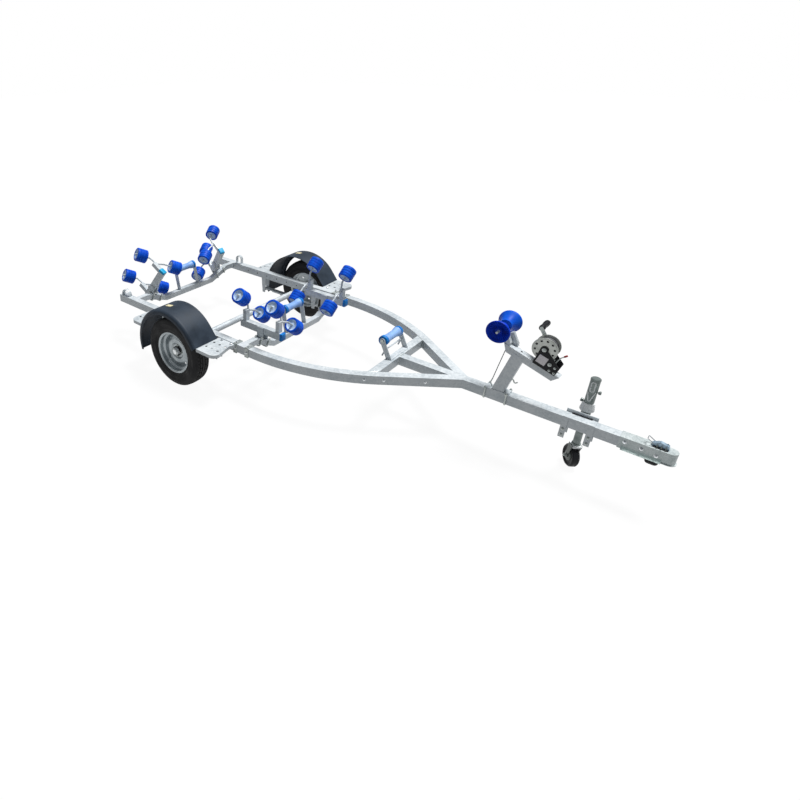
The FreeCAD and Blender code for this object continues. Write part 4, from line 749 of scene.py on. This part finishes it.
# ---- rails: clamp bands at the middle crossmember, end plugs, bolts, weld beads
railSet = {
    "tube": 0.065, "band": (0.470, 0.592), "bandWide": 0.038, "bandThick": 0.0060, "bandDrop": 0.010,
    "bandBolt": 0.020, "plugDeep": 0.014, "plugGap": 0.004, "holeRadius": 0.006, "holes": (-0.62, 0.13, 9),
    "bend": (0.627, 1.552, 37.8), "boltPast": (-0.100, 0.040, 0.330), "boltSize": 0.0075}
railTop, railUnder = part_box("drawbar")[1][2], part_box("drawbar")[0][2]
railMiddle = (railTop + railUnder) / 2


def railBands(values, side, sign, outer, inner):
    thick = values["bandThick"]
    walls = (((outer, railUnder - values["bandDrop"]), (outer + thick, railTop + thick)),
             ((inner - thick, railTop), (outer + thick, railTop + thick)),
             ((inner - thick, railUnder - thick), (outer + thick, railUnder)),
             ((inner - thick, railUnder - thick), (inner, railTop + thick)))
    plates, bolts = [], []
    for ahead in values["band"]:
        back = axleLine.x + ahead - values["bandWide"] / 2
        front = back + values["bandWide"]
        for start, end in walls:
            ends = sorted((sign * start[0], sign * end[0]))
            plates.append(boxPiece((back, ends[0], start[1]), (front, ends[1], end[1]), 0.0009, 1))
        bolts.append(((axleLine.x + ahead, sign * (outer + thick), railMiddle), (0, sign, 0)))
        bolts.append(((axleLine.x + ahead, sign * (outer - values["bandBolt"]), railTop + thick), (0, 0, 1)))
    standing(joinPieces(plates), "rail_bands_" + side, "frame", "zincPlate")
    boltSet("rail_band_bolts_" + side, "frame", "capSteel", values["boltSize"], bolts)


def railPlug(values, side, sign, outer, inner):
    # a dark plug closes the tube's rear end
    gap, back = values["plugGap"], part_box("rail_" + side)[0][0]
    ends = sorted((sign * (inner + gap), sign * (outer - gap)))
    plug = boxPiece((back + 0.0005, ends[0], railUnder + gap),
                    (back + values["plugDeep"], ends[1], railTop - gap), gap)
    standing(plug, "rail_plug_" + side, "frame", "blackPaintAndShade")


def railBolts(values, side, sign, outer):
    # along the outer face, before and after the end of the bend
    start, radius, sweep = values["bend"]
    angle = math.radians(sweep)
    endX, endY = start + radius * math.sin(angle), outer - radius * (1 - math.cos(angle))
    spots = []
    for past in values["boltPast"]:
        if past < 0:
            turn = angle + past / radius
            x, y = start + radius * math.sin(turn), outer - radius * (1 - math.cos(turn))
        else:
            turn = angle
            x, y = endX + past * math.cos(angle), endY - past * math.sin(angle)
        spots.append(((axleLine.x + x, sign * y, railMiddle), (math.sin(turn), sign * math.cos(turn), 0)))
    boltSet("rail_bolts_" + side, "frame", "capSteel", values["boltSize"], spots)


def railHoles(values, side, sign, inner):
    # a row of holes along the inner face, drawn as black pits: painted shade
    radius = values["holeRadius"]
    first, pitch, count = values["holes"]
    hole = spinPiece([(0, 0.0006), (radius * 0.8, 0.0006), (radius, 0.0002), (radius, -0.001), (0, -0.001)], 20)
    holes = []
    for number in range(count):
        spot = (axleLine.x + first + number * pitch, sign * inner, railMiddle)
        holes.append(copyOf(hole, "hole", facing(spot, (0, -sign, 0))))
    remove(hole)
    standing(joinPieces(holes), "rail_hole_shade_" + side, "frame", "blackPaintAndShade")


for side, sign in sides:
    low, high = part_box("rail_" + side)
    outer = max(abs(low[1]), abs(high[1]))
    inner = outer - railSet["tube"]
    railBands(railSet, side, sign, outer, inner)
    railPlug(railSet, side, sign, outer, inner)
    railBolts(railSet, side, sign, outer)
    railHoles(railSet, side, sign, inner)

stepSet = {"out": 0.742, "fromBack": 0.030, "fromFront": (0.050, 0.150), "bolt": 0.008}


def stepBolts(values):
    for side, sign in sides:
        low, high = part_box("step_plates_" + side)
        along = [low[0] + values["fromBack"]] + [high[0] - back for back in values["fromFront"]]
        spots = [((x, sign * values["out"], high[2]), (0, 0, 1)) for x in along]
        boltSet("step_bolts_" + side, "frame", "capSteel", values["bolt"], spots)


stepBolts(stepSet)

weldSet = {
    "radius": 0.0028, "bend": 0.006, "deep": 0.065, "outer": 0.002, "inner": 0.051, "bar": 0.035, "barDeep": 0.066}


def weldBeads(values):
    # beads where the front crossmember meets the rails and the drawbar meets the crossmember
    low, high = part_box("front_crossmember")
    top = high[2] - 0.0005
    under, barUnder, bar = top - values["deep"], top - values["barDeep"], values["bar"]
    half = (high[1] - low[1]) / 2
    outer, inner = half - values["outer"], half - values["inner"]
    beads = []
    for sign in (-1, 1):
        beads.append(bentBar([(low[0], sign * outer, under), (low[0], sign * outer, top),
                              (high[0], sign * inner, top), (high[0], sign * inner, under)],
                             values["radius"], values["bend"], 8, 3))
    beads.append(bentBar([(high[0], -bar, barUnder), (high[0], -bar, top), (high[0], bar, top),
                          (high[0], bar, barUnder)], values["radius"], values["bend"], 8, 3))
    standing(joinPieces(beads), "frame_welds", "frame", "zincPlate", 40)


weldBeads(weldSet)

braceSet = {"radius": 0.006, "bend": 0.016, "route": (
    (0.030, -0.122, 0.012), (0.052, -0.118, 0.070), (0.052, 0.118, 0.070), (0.030, 0.122, 0.012))}


def keelBrace(values):
    # a bent bar ties the front keel bracket's uprights together
    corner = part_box("keel_bracket_front")[0]
    route = [(corner[0] + x, y, corner[2] + z) for x, y, z in values["route"]]
    brace = bentBar(route, values["radius"], values["bend"], 10, 4)
    standing(brace, "keel_brace_front", "frame", "galvanisedSteel", 40)


keelBrace(braceSet)
print("trailer: frame trim done")

# ---- winch: gear teeth, strap on the drum, label plate, lever and grip
winchSet = {
    "teeth": 56, "gear": 0.0775, "gearSides": (-0.0382, -0.0328), "toothDeep": 0.004, "steps": 72,
    "holes": 10, "holeCircle": 0.058, "holeTurn": 0.2, "holeOut": -0.0383, "nutOut": -0.0472,
    "hole": ((0, 0), (0.0055, 0), (0.0062, 0.0006), (0.0072, 0.0008), (0.0074, 0.0), (0.0074, -0.001), (0, -0.001)),
    "ridge": ((0.062, -0.0384), (0.069, -0.0384), (0.0705, -0.0395), (0.0725, -0.0395), (0.0737, -0.0382),
              (0.062, -0.0380)),
    "strap": ((0.03, -0.031), (0.056, -0.031), (0.058, -0.029))}
drumPlace, pinionPlace = (Vector(joints[name]["pos_m"]) for name in ("winch_drum_turn", "winch_crank_turn"))


def shapeGear(values):
    # a toothed ring along Y: two of every four corners are drawn in
    low, high = values["gearSides"]
    corners = values["teeth"] * 4
    startClean()
    bpy.ops.mesh.primitive_cylinder_add(vertices=corners, radius=values["gear"], depth=high - low,
                                        location=(0, (low + high) / 2, 0), rotation=(math.radians(-90), 0, 0))
    bpy.ops.object.transform_apply(location=True, rotation=True, scale=True)
    gear = bpy.context.object
    bpy.ops.object.mode_set(mode="EDIT")
    bpy.ops.mesh.select_mode(type="VERT")
    bpy.ops.mesh.select_all(action="DESELECT")
    bpy.ops.object.mode_set(mode="OBJECT")
    for vert in gear.data.vertices:
        ring = round((math.atan2(vert.co.z, vert.co.x) % (2 * math.pi)) / (2 * math.pi) * corners) % 4
        vert.select = ring in (0, 1)
    bpy.ops.object.mode_set(mode="EDIT")
    inward = 1 - values["toothDeep"] / values["gear"]
    bpy.ops.transform.resize(value=(inward, 1, inward))
    bpy.ops.object.mode_set(mode="OBJECT")
    return gear


def onDrum(piece, name, finish, smooth=30):
    piece.data.transform(Matrix.Translation(drumPlace))
    standing(piece, name, "winch_drum", finish, smooth)


def winchPieces(values):
    onDrum(shapeGear(values), "winch_gear_teeth", "gearSteel", 20)
    # round holes through the gear, drawn as shallow black pits: painted shade
    pit = spinPiece(values["hole"], 18)
    pits = []
    for number in range(values["holes"]):
        angle = 2 * math.pi * number / values["holes"] + values["holeTurn"]
        spot = Vector((math.cos(angle), 0, math.sin(angle))) * values["holeCircle"]
        spot.y = values["holeOut"]
        pits.append(copyOf(pit, "pit", facing(drumPlace + spot, (0, -1, 0))))
    remove(pit)
    standing(joinPieces(pits), "winch_gear_hole_shade", "winch_drum", "blackPaintAndShade")
    onDrum(spinPiece(values["ridge"], values["steps"]), "winch_gear_ridge", "gearSteel")
    # strap wound on the drum's core
    onDrum(spinPiece(mirrored(values["strap"]), 64), "winch_strap_roll", "webStrap")
    out = Vector((0, values["nutOut"], 0))
    for name, body, place, size in (
            ("shaft", "winch_drum", drumPlace, 0.010), ("pinion", "winch_crank", pinionPlace, 0.009)):
        boltSet("winch_%s_nut" % name, body, "zincPlate", size, [(place + out, (0, -1, 0))])


winchPieces(winchSet)

# places on the head beam are counted along it from its rear end, up from its top, and across
beamSet = {"slope": 18.5, "drumAlong": 0.219, "drumUp": 0.119}
beamSlope = math.radians(beamSet["slope"])
beamDown = Vector((math.cos(beamSlope), 0, -math.sin(beamSlope)))
beamUp = Vector((math.sin(beamSlope), 0, math.cos(beamSlope)))
beamBack = drumPlace - beamDown * beamSet["drumAlong"] - beamUp * beamSet["drumUp"]
beamPlace = Matrix.Translation(beamBack) @ Matrix((beamDown, Vector((0, 1, 0)), beamUp)).transposed().to_4x4()


def onBeam(along, above, across=0.0):
    return beamBack + beamDown * along + beamUp * above + Vector((0, across, 0))


trimSet = {
    "label": ((0.214, -0.0465, 0.022), (0.272, -0.0440, 0.080)),
    "bolts": ((0.312, 0.014, -0.044), (0.342, 0.014, -0.044), (0.330, 0.048, -0.044),
              (0.312, 0.014, 0.044), (0.342, 0.014, 0.044)),
    "pawl": ((0.314, 0.052, 0.006), (0.317, 0.098, 0.008), (0.336, 0.127, 0.014)),
    "knobPlace": (0.330, 0.118, 0.013),
    "knob": ((0, 0), (0.0045, 0), (0.006, 0.003), (0.0062, 0.018), (0.005, 0.0215), (0.002, 0.023), (0, 0.0232)),
    "crankLong": 0.213, "crankAngle": 124, "gripOut": 0.074, "grip": (
        (0, -0.012), (0.0172, -0.012), (0.0185, -0.009), (0.0196, 0.004), (0.0188, 0.014), (0.0175, 0.030),
        (0.0180, 0.045), (0.0194, 0.062), (0.0202, 0.078), (0.0198, 0.090), (0.0186, 0.100), (0.0174, 0.1035),
        (0.0120, 0.1050), (0, 0.1053))}


def winchTrim(values):
    label = boxPiece(*values["label"], 0.0006)
    label.data.transform(beamPlace)
    standing(label, "winch_label_plate", "frame", "labelPlate")
    spots = [(onBeam(*spot), (0, math.copysign(1, spot[2]), 0)) for spot in values["bolts"]]
    boltSet("winch_frame_bolts", "frame", "zincPlate", 0.006, spots)
    route = [onBeam(*spot) for spot in values["pawl"]]
    standing(bentBar(route, 0.0035, 0.008, 10, 3), "winch_pawl", "frame", "zincPlate")
    turned(values["knob"], 20, onBeam(*values["knobPlace"]), route[2] - route[1], "winch_pawl_knob",
           "frame", "leverRed")
    angle = math.radians(values["crankAngle"])
    reach = values["crankLong"]
    tip = pinionPlace + Vector((reach * math.cos(angle), values["gripOut"], reach * math.sin(angle)))
    turned(values["grip"], 32, tip, (0, 1, 0), "winch_grip", "winch_crank", "blackPaintAndShade", 40)


winchTrim(trimSet)

# the stay and the hook are counted from the stay's foot, behind the post
postSet = {
    "stub": ((-0.022, 0.020, -0.010), (0.030, 0.050, 0.080)), "stubPlace": (0.046, 0.002), "stubLean": -30,
    "lip": ((0.020, 0.020, 0.0005), (0.078, 0.048, 0.008)), "holeAlong": 0.116,
    "hole": ((0, 0.0008), (0.0065, 0.0008), (0.0075, 0.0003), (0.0075, -0.001), (0, -0.001)),
    "footBack": 0.276, "footUp": 0.066, "stayTop": (0.026, -0.034), "stayBend": (0.020, 0, 0.120),
    "eye": ((0, 0, 0.002), (-0.008, 0, -0.026), (0.008, 0, -0.055)),
    "hook": ((0.092, 0, 0.050), (0.132, 0, 0.046), (0.142, 0, 0.020), (0.160, 0, 0.038))}


def postTrim(values):
    # upright stub beside the bow roller's stem, with its foot plate, and a hole in the beam's top drawn as a black
    # pit: painted shade
    stub = boxPiece(*values["stub"], 0.004)
    lean = Matrix.Rotation(math.radians(values["stubLean"]), 4, "Y")
    stub.data.transform(Matrix.Translation(onBeam(*values["stubPlace"])) @ lean)
    lip = boxPiece(*values["lip"], 0.002)
    lip.data.transform(beamPlace)
    standing(joinPieces([stub, lip]), "bow_stub", "frame", "galvanisedSteel")
    turned(values["hole"], 24, onBeam(values["holeAlong"], 0), beamUp, "beam_hole_shade", "frame",
           "blackPaintAndShade")
    # stay from the head beam down to the base, the eye at its foot, and a hook on the post's front
    foot = Vector((drumPlace.x - values["footBack"], 0, railTop + values["footUp"]))
    stay = bentBar([onBeam(*values["stayTop"]), foot + Vector(values["stayBend"]), foot], 0.0028, 0.08, 8, 4)
    standing(stay, "post_cable", "frame", "forkSteel", 40)
    eye = bentBar([foot + Vector(spot) for spot in values["eye"]], 0.004, 0.010, 10, 4)
    standing(eye, "post_cable_end", "frame", "zincPlate", 40)
    hook = bentBar([foot + Vector(spot) for spot in values["hook"]], 0.0045, 0.009, 10, 4)
    standing(hook, "post_hook", "frame", "zincPlate", 40)


postTrim(postSet)
print("trailer: winch done")

# ---- jack: knobs, raised oval and vee and collar in near-white zinc for painted light, a black slit that is painted shadow, wheel nuts. Heights are counted from the ground
jackSet = {
    "knobs": (((0.0335, 0, 0.600), (1, 0, 0.1)), ((-0.0335, 0, 0.516), (-1, 0, 0.1))),
    "knob": ((0, -0.005), (0.005, -0.005), (0.005, 0), (0.010, 0.001), (0.012, 0.004), (0.012, 0.013),
             (0.010, 0.016), (0, 0.017)),
    "oval": ((-0.011, -0.0285, 0.640), (-0.011, -0.0285, 0.674), (0.011, -0.0285, 0.674),
             (0.011, -0.0285, 0.606), (-0.011, -0.0285, 0.606), (-0.011, -0.0285, 0.636)),
    "vee": ((-0.020, -0.0235, 0.600), (0, -0.0310, 0.520), (0.020, -0.0235, 0.600)), "relief": 0.0034,
    "collarUp": 0.482, "collar": ((0.0292, -0.022), (0.0430, -0.022), (0.0440, -0.018), (0.0400, 0.006),
                                  (0.0355, 0.030), (0.0292, 0.034)),
    "nutOut": 0.034, "hub": ((0.010, -0.0262), (0.030, -0.0262), (0.034, -0.0245), (0.038, -0.0200)),
    "crown": ((-0.0285, -0.0345, -0.016), (0.0285, 0.0345, 0.0015)), "crownUp": 0.180, "castor": 38}
jackPlace = Vector(joints["jack_swing"]["pos_m"])
jackFoot = Vector((jackPlace.x, jackPlace.y, 0))


def jackPieces(values):
    knob = spinPiece(values["knob"], 24)
    knobs = [copyOf(knob, "knob", facing(jackFoot + Vector(spot), axis)) for spot, axis in values["knobs"]]
    remove(knob)
    standing(joinPieces(knobs), "jack_knobs", "jack_tube", "jackSteel")
    # the raised oval and vee are near-white zinc: painted highlight
    oval = bentBar([jackFoot + Vector(spot) for spot in values["oval"]], values["relief"], 0.009, 8, 5)
    standing(oval, "jack_emboss", "jack_tube", "paintedLitZinc")
    vee = bentBar([jackFoot + Vector(spot) for spot in values["vee"]], values["relief"], 0.006, 8, 3)
    standing(vee, "jack_vee", "jack_tube", "paintedLitZinc")
    # the collar is near-white zinc too: painted light
    turned(values["collar"], 48, jackFoot + Vector((0, 0, values["collarUp"])), (0, 0, 1), "jack_collar",
           "jack_tube", "paintedLitZinc", 40)
    low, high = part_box("jack_bracket")
    # a black strip under the bracket plate's overhang on the drawbar: painted shadow
    slitShadow = boxPiece((low[0] + 0.034, 0.020, high[2] - 0.0215),
                    (high[0] - 0.030, 0.034, high[2] - 0.0195), 0.0005, 1)
    standing(slitShadow, "jack_slit_shadow", "frame", "blackPaintAndShade")
    spin = joints["jack_wheel_spin"]
    centre, axis = Vector(spin["pos_m"]), Vector(spin["axis"])
    boltSet("jockey_nuts", "jack_fork", "zincPlate", 0.011,
            [(centre + axis * values["nutOut"], axis), (centre - axis * values["nutOut"], -axis)])
    turned(mirrored(values["hub"]), 40, centre, axis, "jockey_hub", "jack_wheel", "forkSteel")
    # plate over the fork's crown, turned as the fork is; its near-white zinc is painted light
    crown = boxPiece(*values["crown"], 0.004, 3)
    turn = Matrix.Rotation(math.radians(values["castor"]), 4, "Z")
    crown.data.transform(Matrix.Translation((jackPlace.x, jackPlace.y, values["crownUp"])) @ turn)
    standing(crown, "fork_crown", "jack_fork", "paintedLitZinc")


jackPieces(jackSet)
print("trailer: jack done")

# ---- coupling: bolts, lower lip in a paler coat for painted highlight, latch handle, ribs and a black gap of painted shade, the stop under it and the button on top
couplerSet = {
    "bolts": ((1.996, 0.428), (2.083, 0.424), (2.160, 0.412)), "boltOut": 0.0390, "boltSize": 0.0085,
    "lipBack": 0.022, "lipFront": 2.190, "lipOut": 0.0480, "lipUp": 0.3895, "lipLean": 58,
    "handle": ((-0.088, -0.019, 0.018), (-0.124, -0.019, 0.040), (-0.124, 0.019, 0.040), (-0.088, 0.019, 0.018)),
    "ribs": (-0.074, -0.052, -0.030), "stop": ((2.112, -0.026, 0.328), (2.182, 0.026, 0.380)),
    "buttonBack": 0.075, "buttonDown": 0.012,
    "button": ((0, 0), (0.010, 0), (0.011, 0.002), (0.011, 0.010), (0.009, 0.013), (0, 0.0135))}
couplerLow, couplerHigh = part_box("coupler")


def couplerPieces(values):
    spots = [((x, sign * values["boltOut"], z), (0, sign, 0)) for x, z in values["bolts"] for sign in (-1, 1)]
    boltSet("coupler_bolts", "frame", "capSteel", values["boltSize"], spots)
    lips = []
    # the lips take a paler copy of the coupler's coat: painted highlight where they face up
    for sign in (-1, 1):
        lip = boxPiece((couplerLow[0] + values["lipBack"], -0.0015, -0.015),
                       (values["lipFront"], 0.0015, 0.013), 0.0006, 1)
        lean = Matrix.Rotation(math.radians(sign * values["lipLean"]), 4, "X")
        lip.data.transform(Matrix.Translation((0, sign * values["lipOut"], values["lipUp"])) @ lean)
        lips.append(lip)
    standing(joinPieces(lips), "coupler_skirt", "frame", "skirtHighlightCoat")


def latchPieces(values):
    seat = Vector((couplerHigh[0] - 0.045, 0, railTop + 0.004))
    handle = bentBar([seat + Vector(spot) for spot in values["handle"]], 0.0028, 0.006, 8, 4)
    standing(handle, "latch_handle", "frame", "capSteel", 40)
    ribs = []
    for ahead in values["ribs"]:
        for inner, outer in ((-0.0275, -0.0255), (0.0255, 0.0275)):
            low, high = (ahead, inner, 0.004), (ahead + 0.007, outer, 0.024)
            ribs.append(boxPiece(seat + Vector(low), seat + Vector(high), 0.0008, 1))
    standing(joinPieces(ribs), "latch_ribs", "frame", "forkSteel")
    # a black sheet in the latch's gap: painted shade
    gap = boxPiece(seat + Vector((-0.090, -0.0268, 0.0005)), seat + Vector((-0.014, 0.0268, 0.004)), 0.0008, 1)
    standing(gap, "latch_gap_shade", "frame", "blackPaintAndShade")


def couplerFittings(values):
    stop = boxPiece(*values["stop"], 0.020, 5)
    standing(stop, "coupler_stop", "frame", "blackPaintAndShade", 50)
    spot = (couplerHigh[0] - values["buttonBack"], 0, couplerHigh[2] - values["buttonDown"])
    turned(values["button"], 24, spot, (0, 0, 1), "coupler_button", "frame", "zincPlate")


couplerPieces(couplerSet)
latchPieces(couplerSet)
couplerFittings(couplerSet)

# ---- mudguards: a reflector patch on each crown
patchSet = {
    "block": ((-0.032, -0.0185, -0.001), (0.032, 0.0185, 0.0035)), "behindAxle": 0.065, "hub": 0.305,
    "radius": 0.364, "out": 0.882, "lean": -10}


def guardPatches(values):
    lean = math.radians(values["lean"])
    radius = values["radius"]
    for side, sign in sides:
        spot = (axleLine.x - values["behindAxle"] + radius * math.sin(lean), sign * values["out"],
                values["hub"] + radius * math.cos(lean))
        patch = boxPiece(*values["block"], 0.0012)
        patch.data.transform(Matrix.Translation(spot) @ Matrix.Rotation(lean, 4, "Y"))
        standing(patch, "guard_reflector_" + side, "frame", "reflector")


guardPatches(patchSet)
print("trailer: coupling and guards done")

# ---- stage: a floor that looks white and keeps the shadow, one soft sun, a plain sky
stageSet = {
    "floor": 60.0, "floorTone": 0.24, "floorRough": 0.9, "glow": 1.18, "glowShare": 0.8, "skyStrength": 0.27,
    "skyTone": (0.93, 0.96, 1, 1), "keyPower": 3.8, "keyTurn": (-17, 6, 0), "keyAngle": 18}


def eitherRay(tree, kinds):
    # 1 where the ray is of one of two kinds
    rays = tree.nodes.new("ShaderNodeLightPath")
    seen = tree.nodes.new("ShaderNodeMath")
    seen.operation = "MAXIMUM"
    for number, kind in enumerate(kinds):
        tree.links.new(rays.outputs[kind], seen.inputs[number])
    return seen


def blendInto(tree, share, plain, bright, target):
    mix = tree.nodes.new("ShaderNodeMixShader")
    for number, node in enumerate((share, plain, bright)):
        tree.links.new(node.outputs[0], mix.inputs[number])
    tree.links.new(mix.outputs[0], tree.nodes[target].inputs["Surface"])


def addStage(values):
    startClean()
    bpy.ops.mesh.primitive_plane_add(size=values["floor"], location=(0, 0, cadLow[2] - 0.0005))
    floor = bpy.context.object
    floor.name = "floor"
    paint = bpy.data.materials.new("floorPaint")
    paint.use_nodes = True
    tree = paint.node_tree
    shader = tree.nodes["Principled BSDF"]
    shader.inputs["Base Color"].default_value = (*[values["floorTone"]] * 3, 1)
    shader.inputs["Roughness"].default_value = values["floorRough"]
    glow = tree.nodes.new("ShaderNodeEmission")
    glow.inputs["Strength"].default_value = values["glow"]
    share = tree.nodes.new("ShaderNodeMath")
    share.operation = "MULTIPLY"
    share.inputs[1].default_value = values["glowShare"]
    tree.links.new(eitherRay(tree, ("Is Camera Ray", "Is Glossy Ray")).outputs[0], share.inputs[0])
    blendInto(tree, share, shader, glow, "Material Output")
    floor.data.materials.append(paint)
    bpy.ops.object.light_add(type="SUN", rotation=[math.radians(angle) for angle in values["keyTurn"]])
    bpy.context.object.data.energy = values["keyPower"]
    bpy.context.object.data.angle = math.radians(values["keyAngle"])
    world = bpy.data.worlds.new("studio")
    bpy.context.scene.world = world
    world.use_nodes = True
    tree = world.node_tree
    sky = tree.nodes["Background"]
    sky.inputs["Color"].default_value = values["skyTone"]
    sky.inputs["Strength"].default_value = values["skyStrength"]
    backdrop = tree.nodes.new("ShaderNodeBackground")
    backdrop.inputs["Color"].default_value = (1, 1, 1, 1)
    blendInto(tree, eitherRay(tree, ("Is Camera Ray", "Is Transmission Ray")), sky, backdrop, "World Output")


addStage(stageSet)
bpy.context.scene.view_settings.view_transform = "Standard"
print("trailer: stage lit")
